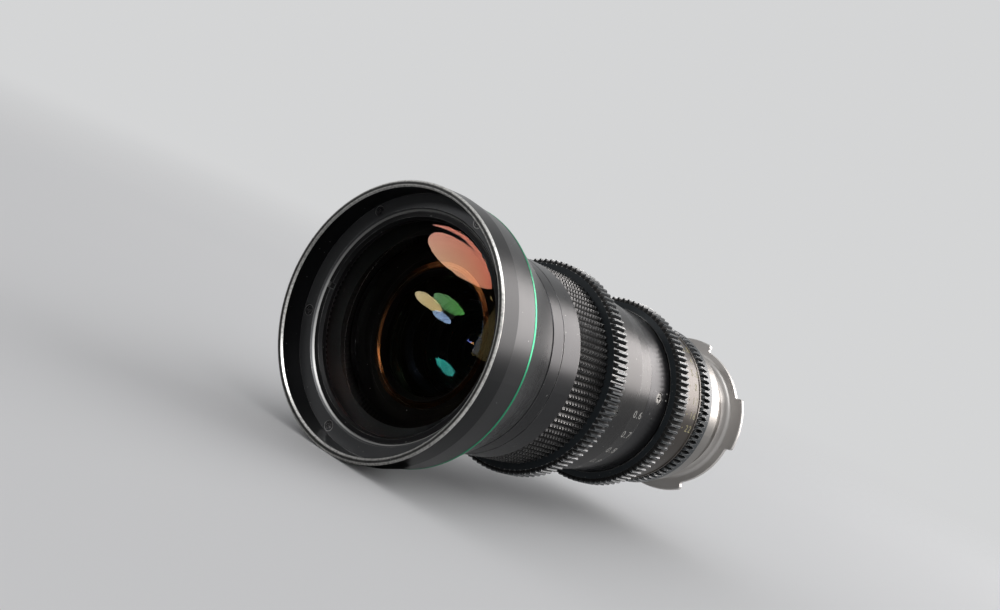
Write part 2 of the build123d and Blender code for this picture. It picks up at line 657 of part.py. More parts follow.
focus_glass_rear = glass_element(
    apex=64.0, middle=4.4, curves=(48, 210), clear=(18.4, 19.6),
    seats=(67.8, 70.4), rim=FOCUS_GLASS_RADIUS,
)
focus_glass_rear.label = "focus_glass_rear"
export_step(focus_glass_rear, "parts/focus_glass_rear.step")

# The index barrel is a fixed ring between the focus and zoom rings. It carries the index marks.
INDEX_POCKET = 32.5
with BuildPart() as index_barrel:
    with BuildSketch():
        Polygon(
            outline(
                (INDEX_FRONT, BARREL_RADIUS),
                (INDEX_FRONT, INDEX_RADIUS - EDGE),
                (INDEX_FRONT + EDGE, INDEX_RADIUS),
                (INDEX_END - EDGE, INDEX_REAR_RADIUS),
                (INDEX_END, INDEX_REAR_RADIUS - EDGE),
                (INDEX_END, BARREL_RADIUS),
            )
        )
    revolve(axis=Axis.Y)
    for screw in range(BARREL_SCREWS):
        angle = INDEX_ANGLE + 360 * screw / BARREL_SCREWS
        with BuildSketch(facing(INDEX_SCREW_STATION, angle, INDEX_POCKET)):
            Circle(INDEX_POCKET_RADIUS)
        extrude(amount=POCKET_REACH, mode=Mode.SUBTRACT)
        with BuildSketch(facing(INDEX_SCREW_STATION, angle, BARREL_RADIUS - 1)):
            Circle(SHANK_RADIUS)
        extrude(amount=POCKET_REACH, mode=Mode.SUBTRACT)
index_barrel.part.label = "index_barrel"
export_step(index_barrel.part, "parts/index_barrel.step")

# Three bright cross-head screws hold the index barrel.
INDEX_HEAD_HEIGHT, CROSS_LENGTH, CROSS_WIDTH = 1.2, 2.6, 0.55
with BuildPart() as barrel_screw:
    Cylinder(INDEX_HEAD_RADIUS, INDEX_HEAD_HEIGHT, align=(Align.CENTER, Align.CENTER, Align.MIN))
    fillet(barrel_screw.edges().group_by(Axis.Z)[-1], EDGE)
    Cylinder(SHANK_RADIUS, 0.9, align=(Align.CENTER, Align.CENTER, Align.MAX))
    with BuildSketch(Plane.XY.offset(INDEX_HEAD_HEIGHT)):
        Rectangle(CROSS_LENGTH, CROSS_WIDTH)
        Rectangle(CROSS_WIDTH, CROSS_LENGTH)
    extrude(amount=-0.8, mode=Mode.SUBTRACT)
with BuildPart() as index_screws:
    for screw in range(BARREL_SCREWS):
        angle = INDEX_ANGLE + 360 * screw / BARREL_SCREWS
        with Locations(facing(INDEX_SCREW_STATION, angle, INDEX_POCKET)):
            add(barrel_screw.part)
index_screws.part.label = "index_screws"
export_step(index_screws.part, "parts/index_screws.step")

# Zoom ring: a hub with the focal-length scale, which runs on the barrel, and its gear.
ZOOM_SEAT = 34.0
with BuildPart() as zoom_ring:
    with BuildSketch():
        Polygon(
            outline(
                (ZOOM_FRONT, BARREL_RADIUS + PLAY),
                (ZOOM_FRONT, ZOOM_SEAT),
                (ZOOM_GEAR_END, ZOOM_SEAT),
                (ZOOM_GEAR_END, ZOOM_SCALE_RADIUS + 0.6),
                (ZOOM_END - 0.4, ZOOM_SCALE_RADIUS),
                (ZOOM_END, ZOOM_SCALE_RADIUS - 0.4),
                (ZOOM_END, BARREL_RADIUS + PLAY),
                (ZOOM_KEY[1], BARREL_RADIUS + PLAY),
                (ZOOM_KEY[1], KEY_GROOVE),
                (ZOOM_KEY[0], KEY_GROOVE),
                (ZOOM_KEY[0], BARREL_RADIUS + PLAY),
            )
        )
    revolve(axis=Axis.Y)
zoom_ring.part.label = "zoom_ring"
export_step(zoom_ring.part, "parts/zoom_ring.step")

zoom_gear = bevelled_gear(
    ZOOM_TEETH, ZOOM_SEAT, ZOOM_FRONT, ZOOM_GEAR_END, front_bevel=0.8, back_bevel=0.7, rim=36.5
)
zoom_gear.label = "zoom_gear"
export_step(zoom_gear, "parts/zoom_gear.step")

# The zoom cam tube has three steep slots for the variator and three shallow ones for the
# compensator, which the zoom ring turns together.
ZOOM_CAM_FRONT, ZOOM_CAM_BACK = 78.0, 144.5
with BuildPart() as zoom_cam:
    with BuildSketch():
        Polygon(
            outline(
                (ZOOM_CAM_FRONT, GUIDE_RADIUS + PLAY),
                (ZOOM_CAM_FRONT, CAM_TUBE_RADIUS),
                (ZOOM_CAM_BACK, CAM_TUBE_RADIUS),
                (ZOOM_CAM_BACK, GUIDE_RADIUS + PLAY),
            )
        )
    revolve(axis=Axis.Y)
    for pin in range(ZOOM_PINS):
        angle = INDEX_ANGLE + 360 * pin / ZOOM_PINS
        add(
            cam_slot(VARIATOR_PIN, VARIATOR_PIN + VARIATOR_TRAVEL, ZOOM_TURN, angle, False),
            mode=Mode.SUBTRACT,
        )
        add(
            cam_slot(COMPENSATOR_PIN + COMPENSATOR_TRAVEL, COMPENSATOR_PIN, ZOOM_TURN, angle + 60, True),
            mode=Mode.SUBTRACT,
        )
zoom_cam.part.label = "zoom_cam"
export_step(zoom_cam.part, "parts/zoom_cam.step")

zoom_key = drive_key(ZOOM_KEY, CAM_TUBE_RADIUS, KEY_GROOVE)
zoom_key.label = "zoom_key"
export_step(zoom_key, "parts/zoom_key.step")

# The variator moves far, the compensator a little the other way.
variator_pins = cam_pins(VARIATOR_PIN, ZOOM_PINS, INDEX_ANGLE)
variator_pins.label = "variator_pins"
export_step(variator_pins, "parts/variator_pins.step")

variator_cell = cell(front=74.0, back=90.0, bore=VARIATOR_GLASS_RADIUS, pins=variator_pins)
variator_cell.label = "variator_cell"
export_step(variator_cell, "parts/variator_cell.step")

variator_glass = glass_element(
    apex=77.6, middle=3.0, curves=(-90, 38), clear=(16.4, 15.4),
    seats=(75.6, 84.4), rim=VARIATOR_GLASS_RADIUS,
)
variator_glass.label = "variator_glass"
export_step(variator_glass, "parts/variator_glass.step")

compensator_pins = cam_pins(COMPENSATOR_PIN, ZOOM_PINS, INDEX_ANGLE + 60)
compensator_pins.label = "compensator_pins"
export_step(compensator_pins, "parts/compensator_pins.step")

compensator_cell = cell(front=130.0, back=141.0, bore=COMPENSATOR_GLASS_RADIUS, pins=compensator_pins)
compensator_cell.label = "compensator_cell"
export_step(compensator_cell, "parts/compensator_cell.step")

compensator_glass = glass_element(
    apex=132.2, middle=5.0, curves=(52, -80), clear=(14.4, 14.4),
    seats=(134.6, 135.6), rim=COMPENSATOR_GLASS_RADIUS,
)
compensator_glass.label = "compensator_glass"
export_step(compensator_glass, "parts/compensator_glass.step")

# Iris housing: a cup with a back plate that carries the blades' pivots, and a window for the key.
PIVOT_HOLE_DEPTH = 1.6
with BuildPart() as iris_housing:
    with BuildSketch():
        Polygon(
            outline(
                (HOUSING_FRONT, HOUSING_BORE),
                (HOUSING_FRONT, REAR_TUBE_BORE),
                (HOUSING_BACK, REAR_TUBE_BORE),
                (HOUSING_BACK, BLADE_INNER + 0.3),
                (HOUSING_PLATE, BLADE_INNER + 0.3),
                (HOUSING_PLATE, HOUSING_BORE),
            )
        )
    revolve(axis=Axis.Y)
    with BuildSketch(across(HOUSING_PLATE)):
        with PolarLocations(PIVOT_CIRCLE, BLADES, start_angle=INDEX_ANGLE):
            Circle(PIVOT_PIN / 2 + PLAY)
    extrude(amount=PIVOT_HOLE_DEPTH, mode=Mode.SUBTRACT)
    window_start = KEY_ANGLE + IRIS_CLOSED - IRIS_TURN - WINDOW_MARGIN
    with BuildSketch(Plane.XY.rotated((0, window_start - 90, 0))):
        Polygon(
            outline(
                (IRIS_KEY[0] - WINDOW_ROOM, HOUSING_BORE - WINDOW_ROOM),
                (IRIS_KEY[1] + WINDOW_ROOM, HOUSING_BORE - WINDOW_ROOM),
                (IRIS_KEY[1] + WINDOW_ROOM, REAR_TUBE_BORE + WINDOW_ROOM),
                (IRIS_KEY[0] - WINDOW_ROOM, REAR_TUBE_BORE + WINDOW_ROOM),
            )
        )
    revolve(axis=Axis.Y, revolution_arc=IRIS_TURN + 2 * WINDOW_MARGIN, mode=Mode.SUBTRACT)
iris_housing.part.label = "iris_housing"
export_step(iris_housing.part, "parts/iris_housing.step")

# A thin cover closes the housing in front of the cam ring.
COVER_THICKNESS, COVER_BORE = 0.8, 16.4
with BuildPart() as iris_cover:
    with BuildSketch():
        Polygon(
            outline(
                (HOUSING_FRONT - COVER_THICKNESS, COVER_BORE),
                (HOUSING_FRONT - COVER_THICKNESS, REAR_TUBE_BORE),
                (HOUSING_FRONT, REAR_TUBE_BORE),
                (HOUSING_FRONT, COVER_BORE),
            )
        )
    revolve(axis=Axis.Y)
iris_cover.part.label = "iris_cover"
export_step(iris_cover.part, "parts/iris_cover.step")


def drive_point(turn):
    """Polar radius and angle of a blade's drive pin, measured from its pivot, once it has turned."""
    sideways = -DRIVE_OFFSET * cos(radians(turn))
    outward = PIVOT_CIRCLE + DRIVE_OFFSET * sin(radians(turn))
    return sqrt(sideways**2 + outward**2), degrees(atan2(sideways, outward))


def polar(radius, angle):
    """Point of a sketch from its polar radius and angle."""
    return radius * cos(radians(angle)), radius * sin(radians(angle))


# The cam ring turns with the iris ring. Its curved slots push the blades' drive pins outwards. At
# rest the ring stands back from the open end of the slots by the turn that it has closed.
SLOT_POINTS, CAM_RING_BORE = 7, 16.8
slot_path = []
for point in range(SLOT_POINTS):
    share = point / (SLOT_POINTS - 1)
    radius, angle = drive_point(share * BLADE_TURN)
    slot_path.append(polar(radius, share * IRIS_TURN - IRIS_CLOSED - angle))
with BuildSketch() as iris_slot:
    with BuildLine():
        Spline(*slot_path)
    trace(line_width=DRIVE_SLOT)
    with Locations(slot_path[0], slot_path[-1]):
        Circle(DRIVE_SLOT / 2)
with BuildPart() as iris_cam_ring:
    with BuildSketch(across(CAM_RING_FRONT)):
        Circle(CAM_RING_RADIUS)
        Circle(CAM_RING_BORE, mode=Mode.SUBTRACT)
        with PolarLocations(0, BLADES, start_angle=INDEX_ANGLE):
            add(iris_slot.sketch, mode=Mode.SUBTRACT)
    extrude(amount=CAM_RING_BACK - CAM_RING_FRONT)
iris_cam_ring.part.label = "iris_cam_ring"
export_step(iris_cam_ring.part, "parts/iris_cam_ring.step")

# Iris blades: thin curved strips, each in its own layer, with a pivot pin behind and a drive pin
# in front. Each is drawn open, about its own pivot, and then swung in to where it rests. The strip
# runs round from its pivot in the sense in which the ring closes the iris.
ARM_WIDTH, PIVOT_DEPTH, PIN_SHORTFALL = 2.8, 1.3, 0.4
for blade in range(BLADES):
    pivot_angle = INDEX_ANGLE - 360 * blade / BLADES
    layer = FIRST_BLADE + blade * BLADE_PITCH
    drive_radius, drive_angle = drive_point(0)
    drive = polar(drive_radius, -drive_angle)
    pivot = polar(PIVOT_CIRCLE, 0)
    root = polar(BLADE_OUTER - 2.0, -6)
    with BuildPart() as iris_blade:
        with BuildSketch(Plane.XY):
            with BuildLine():
                CenterArc((0, 0), (BLADE_INNER + BLADE_OUTER) / 2, 0, -BLADE_ARC)
            trace(line_width=BLADE_OUTER - BLADE_INNER)
            with BuildLine():
                Polyline(drive, pivot, root)
            trace(line_width=ARM_WIDTH)
            with Locations(drive, pivot, root):
                Circle(ARM_WIDTH / 2)
        extrude(amount=BLADE_THICKNESS)
        with BuildSketch(Plane.XY):
            with Locations(pivot):
                Circle(PIVOT_PIN / 2)
        extrude(amount=HOUSING_PLATE + PIVOT_DEPTH - layer)
        with BuildSketch(Plane.XY):
            with Locations(drive):
                Circle(DRIVE_PIN / 2)
        extrude(amount=-(layer - CAM_RING_FRONT - PIN_SHORTFALL))
    swing = -BLADE_TURN * IRIS_CLOSED / IRIS_TURN
    iris_blade = iris_blade.part.rotate(Axis((PIVOT_CIRCLE, 0, 0), (0, 0, 1)), swing)
    iris_blade = across(layer).location * Rot(0, 0, pivot_angle) * iris_blade
    iris_blade.label = f"iris_blade_{blade + 1}"
    export_step(iris_blade, f"parts/iris_blade_{blade + 1}.step")

# Iris ring: the scale band, which runs on the rear tube. A low lip and a groove part it from its
# gear.
IRIS_SEAT, IRIS_WEB, LIP_WIDTH, GROOVE_WIDTH = 30.2, 157.0, 0.6, 0.4
IRIS_TIP, IRIS_ROOT = IRIS_TEETH * MODULE / 2 + MODULE, IRIS_TEETH * MODULE / 2 - 1.25 * MODULE
LIP_RADIUS, GROOVE_RADIUS = IRIS_SCALE_RADIUS + 0.1, IRIS_ROOT - 0.6
LIP_BACK = IRIS_GEAR_FRONT - GROOVE_WIDTH
LIP_START = LIP_BACK - LIP_WIDTH
with BuildPart() as iris_ring:
    with BuildSketch():
        Polygon(
            outline(
                (IRIS_FRONT, REAR_TUBE_RADIUS + PLAY),
                (IRIS_FRONT, IRIS_SCALE_RADIUS - EDGE),
                (IRIS_FRONT + EDGE, IRIS_SCALE_RADIUS),
                (LIP_START - EDGE, LIP_RADIUS - EDGE),
                (LIP_START, LIP_RADIUS),
                (LIP_BACK, LIP_RADIUS),
                (LIP_BACK, GROOVE_RADIUS),
                (IRIS_GEAR_FRONT, GROOVE_RADIUS),
                (IRIS_GEAR_FRONT, IRIS_SEAT),
                (IRIS_END, IRIS_SEAT),
                (IRIS_END, REAR_TUBE_RADIUS + PLAY),
                (IRIS_WEB, REAR_TUBE_RADIUS + PLAY),
                (IRIS_WEB, IRIS_GROOVE),
                (IRIS_KEY[0], IRIS_GROOVE),
                (IRIS_KEY[0], REAR_TUBE_RADIUS + PLAY),
            )
        )
    revolve(axis=Axis.Y)
iris_ring.part.label = "iris_ring"
export_step(iris_ring.part, "parts/iris_ring.step")

# Each tooth gap of the iris gear is cut by itself: it opens at the bevelled front and runs out to a
# point ahead of the plain rim. Its walls slope at the pressure angle.
IRIS_BEVEL, RUN_OUT, RIM_LAND = 2.6, 0.65, 1.8
GAP_HALF_WIDTH = pi * MODULE / 4 - 1.25 * MODULE * tan(radians(PRESSURE_ANGLE))
GAP_HEIGHT = IRIS_TIP - IRIS_ROOT + OVERRUN
with BuildPart() as iris_gear:
    with BuildSketch():
        Polygon(
            outline(
                (IRIS_GEAR_FRONT, IRIS_SEAT),
                (IRIS_GEAR_FRONT, IRIS_ROOT + 0.1),
                (IRIS_GEAR_FRONT + IRIS_BEVEL, IRIS_TIP),
                (IRIS_END - EDGE, IRIS_TIP),
                (IRIS_END, IRIS_TIP - EDGE),
                (IRIS_END, IRIS_SEAT),
            )
        )
    revolve(axis=Axis.Y)
    gap_end = IRIS_GEAR_END - IRIS_GEAR_FRONT - RIM_LAND
    for gap in range(IRIS_TEETH):
        with BuildSketch(facing(IRIS_GEAR_FRONT, 360 * gap / IRIS_TEETH, IRIS_ROOT)):
            Polygon(
                (-OVERRUN, -GAP_HALF_WIDTH),
                (gap_end - RUN_OUT, -GAP_HALF_WIDTH),
                (gap_end, 0),
                (gap_end - RUN_OUT, GAP_HALF_WIDTH),
                (-OVERRUN, GAP_HALF_WIDTH),
            )
    extrude(amount=GAP_HEIGHT, taper=-PRESSURE_ANGLE, mode=Mode.SUBTRACT)
iris_gear.part.label = "iris_gear"
export_step(iris_gear.part, "parts/iris_gear.step")

iris_key = drive_key(IRIS_KEY, CAM_RING_RADIUS, IRIS_GROOVE)
iris_key.label = "iris_key"
export_step(iris_key, "parts/iris_key.step")

# Relay cell: the fixed rear group, from behind the iris to the end of the mount's spigot.
RELAY_RADIUS, RELAY_BORE, RELAY_END = 24.6, 18.4, 208.0
COLLAR_END, REAR_GLASS_SEAT = 165.0, 199.9
with BuildPart() as relay_cell:
    with BuildSketch():
        Polygon(
            outline(
                (HOUSING_BACK, RELAY_BORE),
                (HOUSING_BACK, REAR_TUBE_BORE),
                (COLLAR_END, REAR_TUBE_BORE),
                (COLLAR_END, RELAY_RADIUS),
                (RELAY_END, RELAY_RADIUS),
                (RELAY_END, RELAY_BORE),
            )
        )
    revolve(axis=Axis.Y)
relay_cell.part.label = "relay_cell"
export_step(relay_cell.part, "parts/relay_cell.step")

relay_glass_front = glass_element(
    apex=165.0, middle=6.0, curves=(46, -120), clear=(16.8, 16.8),
    seats=(168.4, 169.6), rim=RELAY_BORE,
)
relay_glass_front.label = "relay_glass_front"
export_step(relay_glass_front, "parts/relay_glass_front.step")

relay_glass_middle = glass_element(
    apex=182.0, middle=2.6, curves=(-60, 52), clear=(16.0, 16.0),
    seats=(180.4, 187.0), rim=RELAY_BORE,
)
relay_glass_middle.label = "relay_glass_middle"
export_step(relay_glass_middle, "parts/relay_glass_middle.step")

rear_glass = glass_element(
    apex=196.6, middle=6.4, curves=(70, -44), clear=(16.4, 16.4),
    seats=(198.6, REAR_GLASS_SEAT), rim=RELAY_BORE,
)
rear_glass.label = "rear_glass"
export_step(rear_glass, "parts/rear_glass.step")

with BuildPart() as rear_retainer:
    with BuildSketch():
        Polygon(
            outline(
                (REAR_GLASS_SEAT, RELAY_BORE - 1.6),
                (REAR_GLASS_SEAT, RELAY_BORE),
                (RELAY_END, RELAY_BORE),
                (RELAY_END, RELAY_BORE - 0.4),
                (RELAY_END - 2.0, RELAY_BORE - 1.6),
            )
        )
    revolve(axis=Axis.Y)
rear_retainer.part.label = "rear_retainer"
export_step(rear_retainer.part, "parts/rear_retainer.step")

# Rear barrel: satin bright metal, stepped down to the neck behind the iris ring.
NECK_SCREW_STATION, NECK_SCREW_ANGLE, NECK_SCREW_RADIUS = 187.0, 120, 1.2
with BuildPart() as rear_barrel:
    with BuildSketch():
        Polygon(
            outline(
                (REAR_FRONT, REAR_TUBE_RADIUS),
                (REAR_FRONT, REAR_RADIUS - EDGE),
                (REAR_FRONT + EDGE, REAR_RADIUS),
                (REAR_STEP - 0.5, REAR_RADIUS - 0.4),
                (REAR_STEP, REAR_RADIUS - 0.9),
                (REAR_STEP, NECK_RADIUS - 0.4),
                (REAR_STEP + 1.2, NECK_RADIUS - 0.4),
                (REAR_STEP + 1.6, NECK_RADIUS),
                (REAR_END, NECK_RADIUS),
                (REAR_END, RELAY_RADIUS),
                (REAR_TUBE_END, RELAY_RADIUS),
                (REAR_TUBE_END, REAR_TUBE_RADIUS),
            )
        )
    revolve(axis=Axis.Y)
    for screw in range(BARREL_SCREWS):
        angle = NECK_SCREW_ANGLE + 360 * screw / BARREL_SCREWS
        with BuildSketch(facing(NECK_SCREW_STATION, angle, RELAY_RADIUS)):
            Circle(NECK_SCREW_RADIUS)
        extrude(amount=6, mode=Mode.SUBTRACT)
rear_barrel.part.label = "rear_barrel"
export_step(rear_barrel.part, "parts/rear_barrel.step")

# Grub screws in the neck lock the rear barrel on the relay cell.
with BuildPart() as neck_screws:
    for screw in range(BARREL_SCREWS):
        angle = NECK_SCREW_ANGLE + 360 * screw / BARREL_SCREWS
        with BuildSketch(facing(NECK_SCREW_STATION, angle, RELAY_RADIUS)):
            Circle(NECK_SCREW_RADIUS)
        extrude(amount=NECK_RADIUS - 0.5 - RELAY_RADIUS)
        with BuildSketch(facing(NECK_SCREW_STATION, angle, NECK_RADIUS - 0.5)):
            Rectangle(2.6, 0.4)
        extrude(amount=-0.5, mode=Mode.SUBTRACT)
neck_screws.part.label = "neck_screws"
export_step(neck_screws.part, "parts/neck_screws.step")

# The shim sets the distance from the glass to the camera's image plane.
with BuildPart() as flange_shim:
    with BuildSketch(across(REAR_END)):
        Circle(NECK_RADIUS - EDGE)
        Circle(RELAY_RADIUS, mode=Mode.SUBTRACT)
    extrude(amount=FLANGE_FRONT - REAR_END)
flange_shim.part.label = "flange_shim"
export_step(flange_shim.part, "parts/flange_shim.step")

# Mount flange: a thin plate that flares out of the neck to four round-cornered tabs, one of them
# notched for the camera's locating pin, and a short spigot behind it.
with BuildPart() as mount_flange:
    with BuildSketch() as plate_profile:
        Polygon(
            outline(
                (FLANGE_FRONT, RELAY_RADIUS),
                (FLANGE_FRONT, NECK_RADIUS),
                (PLATE_FRONT, NECK_RADIUS),
                (PLATE_FRONT, TAB_RADIUS - EDGE),
                (PLATE_FRONT + EDGE, TAB_RADIUS),
                (SEAT - EDGE, TAB_RADIUS),
                (SEAT, TAB_RADIUS - EDGE),
                (SEAT, RELAY_RADIUS),
            )
        )
        fillet(plate_profile.vertices().sort_by_distance((NECK_RADIUS, at(PLATE_FRONT)))[0], NECK_FILLET)
    revolve(axis=Axis.Y)
    recess_arc = 360 / TABS - TAB_ARC
    with BuildSketch(across(FLANGE_FRONT)) as flange_outline:
        Circle(TAB_RADIUS + 0.05)
        for recess in range(TABS):
            first = INDEX_ANGLE + TAB_ARC / 2 + 360 * recess / TABS
            corners = [polar(2 * TAB_RADIUS, first + recess_arc * part / 2) for part in range(3)]
            Polygon((0, 0), *corners, mode=Mode.SUBTRACT)
        fillet(flange_outline.vertices().group_by(SortBy.DISTANCE)[-1], TAB_CORNER)
        Circle(RECESS_RADIUS)
        fillet(flange_outline.vertices().group_by(SortBy.DISTANCE)[0], RECESS_CORNER)
    extrude(amount=SEAT - FLANGE_FRONT, mode=Mode.INTERSECT)
    with BuildSketch():
        Polygon(
            outline(
                (SEAT, SPIGOT_BORE),
                (SEAT, SPIGOT_RADIUS),
                (SEAT + SPIGOT_LENGTH - SPIGOT_CHAMFER, SPIGOT_RADIUS),
                (SEAT + SPIGOT_LENGTH, SPIGOT_RADIUS - SPIGOT_CHAMFER),
                (SEAT + SPIGOT_LENGTH, SPIGOT_BORE),
            )
        )
    revolve(axis=Axis.Y)
    with BuildSketch(across(FLANGE_FRONT)):
        with PolarLocations(TAB_RADIUS, 1, start_angle=INDEX_ANGLE + 180):
            Rectangle(2 * NOTCH_DEPTH, NOTCH_WIDTH)
    extrude(amount=SEAT - FLANGE_FRONT, mode=Mode.SUBTRACT)
mount_flange.part.label = "mount_flange"
export_step(mount_flange.part, "parts/mount_flange.step")
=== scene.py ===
from math import cos, pi, radians, sin, sqrt

import bpy
from mathutils import Matrix, Vector


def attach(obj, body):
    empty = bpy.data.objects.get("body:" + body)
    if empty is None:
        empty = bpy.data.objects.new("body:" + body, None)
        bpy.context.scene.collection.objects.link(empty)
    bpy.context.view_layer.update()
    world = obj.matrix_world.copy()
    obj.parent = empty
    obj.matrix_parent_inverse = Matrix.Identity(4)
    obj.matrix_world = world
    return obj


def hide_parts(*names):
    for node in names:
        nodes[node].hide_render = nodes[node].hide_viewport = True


# A cinema zoom lens. Everything is in metres in the row frame: the optical axis is Y, the front glass
# looks along -Y, and the origin is on the axis in the plane of the mount's seat.
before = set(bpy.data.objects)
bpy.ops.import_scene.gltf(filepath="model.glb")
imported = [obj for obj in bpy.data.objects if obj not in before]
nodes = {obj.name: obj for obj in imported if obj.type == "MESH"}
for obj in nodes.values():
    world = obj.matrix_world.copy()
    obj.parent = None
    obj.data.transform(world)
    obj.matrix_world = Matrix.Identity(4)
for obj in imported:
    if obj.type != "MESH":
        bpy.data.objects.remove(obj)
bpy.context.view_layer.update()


# The camera stands low, in front of the lens and to its right, and is tipped a little as it was held.
camera_data = bpy.data.cameras.new("camera")
camera_data.lens = 61.56
camera_data.sensor_width = 36.0
camera_data.clip_start = 0.01
camera = bpy.data.objects.new("camera", camera_data)
bpy.context.scene.collection.objects.link(camera)
camera_right = Vector((0.69650, 0.58239, 0.41919))
camera_up = Vector((-0.36862, -0.21082, 0.90536))
camera_back = Vector((0.61565, -0.78510, 0.06784))
camera_place = Vector((0.3865, -0.6368, 0.0611))
camera_axes = Matrix((camera_right, camera_up, camera_back)).transposed()
camera.matrix_world = Matrix.Translation(camera_place) @ camera_axes.to_4x4()
bpy.context.scene.camera = camera
bpy.context.scene.view_settings.view_transform = "Standard"


# Hood: turned aluminium, anodised satin black, with fine turning marks. Its flat rim is rubbed
# through to bare metal along both its edges, in scuffs, where it is set down.
def place(tree, kind, inputs=None, **settings):
    """Adds a node; inputs maps its sockets to values or to other nodes' outputs."""
    made = tree.nodes.new(kind)
    for name, value in settings.items():
        setattr(made, name, value)
    for socket, value in (inputs or {}).items():
        if isinstance(value, bpy.types.NodeSocket):
            tree.links.new(value, made.inputs[socket])
        else:
            made.inputs[socket].default_value = value
    return made


def use(tree, group, inputs=None):
    """Puts a node group in a tree and gives its outputs."""
    return place(tree, "ShaderNodeGroup", inputs, node_tree=group).outputs


def arithmetic(tree, operation, first, second=0.0, **settings):
    """One step of arithmetic; gives its result."""
    return place(tree, "ShaderNodeMath", {0: first, 1: second}, operation=operation, **settings).outputs[0]


def ranged(tree, value, low, high, to_low=0.0, to_high=1.0, **settings):
    """Carries a value from the range low to high over to another range, and stops at its ends."""
    inputs = {"Value": value, "From Min": low, "From Max": high, "To Min": to_low, "To Max": to_high}
    return place(tree, "ShaderNodeMapRange", inputs, **settings).outputs[0]


def row_point(tree):
    """The shaded point in the piece's own axes, which at rest are those of the row frame."""
    return place(tree, "ShaderNodeTexCoord").outputs["Object"]


def noise(tree, scale, detail=2.0, distortion=0.0):
    """Cloudy pattern that is fixed to the piece."""
    inputs = {"Vector": row_point(tree), "Scale": scale, "Detail": detail, "Distortion": distortion}
    return place(tree, "ShaderNodeTexNoise", inputs).outputs["Fac"]


def new_group(name, inputs, outputs):
    """Node group with number inputs and the outputs named; gives the tree and its two end nodes."""
    tree = bpy.data.node_groups.new(name, "ShaderNodeTree")
    for socket, value in inputs.items():
        made = tree.interface.new_socket(socket, in_out="INPUT", socket_type="NodeSocketFloat")
        made.default_value = value
    for socket in outputs:
        tree.interface.new_socket(socket, in_out="OUTPUT", socket_type="NodeSocketFloat")
    return tree, tree.nodes.new("NodeGroupInput"), tree.nodes.new("NodeGroupOutput")


# Where a point is on the lens: its station from the front rim, its radius and its turn round the axis
rim_to_seat = 0.1985
on_lens, _, ends = new_group("place on the lens", {}, ("Station", "Radius", "Turn"))
across, along, upward = place(on_lens, "ShaderNodeSeparateXYZ", {0: row_point(on_lens)}).outputs
flat_place = place(on_lens, "ShaderNodeCombineXYZ", {0: across, 1: upward}).outputs[0]
radius = place(on_lens, "ShaderNodeVectorMath", {0: flat_place}, operation="LENGTH").outputs["Value"]
on_lens.links.new(arithmetic(on_lens, "ADD", along, rim_to_seat), ends.inputs["Station"])
on_lens.links.new(radius, ends.inputs["Radius"])
on_lens.links.new(arithmetic(on_lens, "ARCTAN2", across, upward), ends.inputs["Turn"])

# Turning marks: fine rings left by the lathe tool, which fade in and out round the axis
lathe, start, ends = new_group("turning marks", {"Per metre": 9000.0}, ("Marks",))
spot = use(lathe, on_lens)
rings_along = arithmetic(lathe, "MULTIPLY", spot["Station"], start.outputs["Per metre"])
rings_across = arithmetic(lathe, "MULTIPLY", spot["Radius"], start.outputs["Per metre"])
drift = arithmetic(lathe, "MULTIPLY", spot["Turn"], 0.7)
ring_place = place(lathe, "ShaderNodeCombineXYZ", {0: rings_along, 1: rings_across, 2: drift}).outputs[0]
rings = place(lathe, "ShaderNodeTexNoise", {"Vector": ring_place, "Scale": 1.0, "Detail": 2.0})
lathe.links.new(rings.outputs["Fac"], ends.inputs["Marks"])

# Edge wear: the corners of a piece, broken up by patches, where the finish is rubbed through. At a
# corner the softened face and the true face look different ways, so their dot product drops.
worn, start, ends = new_group("edge wear", {"Amount": 1.0, "Patch scale": 90.0}, ("Wear",))
soft_face = place(worn, "ShaderNodeBevel", {"Radius": 0.00022}, samples=4).outputs[0]
true_face = place(worn, "ShaderNodeNewGeometry").outputs["Normal"]
alike = place(worn, "ShaderNodeVectorMath", {0: soft_face, 1: true_face}, operation="DOT_PRODUCT")
corner = ranged(worn, alike.outputs["Value"], 0.985, 0.86)
patches = ranged(worn, noise(worn, start.outputs["Patch scale"], detail=6.0), 0.35, 0.62)
rubbed = arithmetic(worn, "MULTIPLY", corner, patches)
wear = arithmetic(worn, "MULTIPLY", rubbed, start.outputs["Amount"], use_clamp=True)
worn.links.new(wear, ends.inputs["Wear"])

# Dust and handling: small pale specks, and broad smears that change the gloss
dusty, start, ends = new_group("dust and smears", {"Specks per metre": 900.0}, ("Specks", "Smears"))
cells = place(
    dusty, "ShaderNodeTexVoronoi", {"Vector": row_point(dusty), "Scale": start.outputs["Specks per metre"]}
)
chance = place(dusty, "ShaderNodeTexWhiteNoise", {0: cells.outputs["Position"]}).outputs["Value"]
chosen = arithmetic(dusty, "GREATER_THAN", chance, 0.965)
speck = ranged(dusty, cells.outputs["Distance"], 0.18, 0.1)
dusty.links.new(arithmetic(dusty, "MULTIPLY", chosen, speck), ends.inputs["Specks"])
dusty.links.new(noise(dusty, 38.0, detail=5.0, distortion=0.6), ends.inputs["Smears"])


def new_finish(name):
    """Empty node material: the material, its tree and its shader."""
    material = bpy.data.materials.new(name)
    material.use_nodes = True
    return material, material.node_tree, material.node_tree.nodes["Principled BSDF"]


def blend_of(tree, mask, low, high):
    """Mixes two colours by a mask and gives the result; sockets 6 and 7 are the node's colours."""
    made = place(tree, "ShaderNodeMix", {0: mask}, data_type="RGBA")
    for socket, value in ((6, low), (7, high)):
        if isinstance(value, bpy.types.NodeSocket):
            tree.links.new(value, made.inputs[socket])
        else:
            made.inputs[socket].default_value = (*value, 1.0)
    return made.outputs[2]


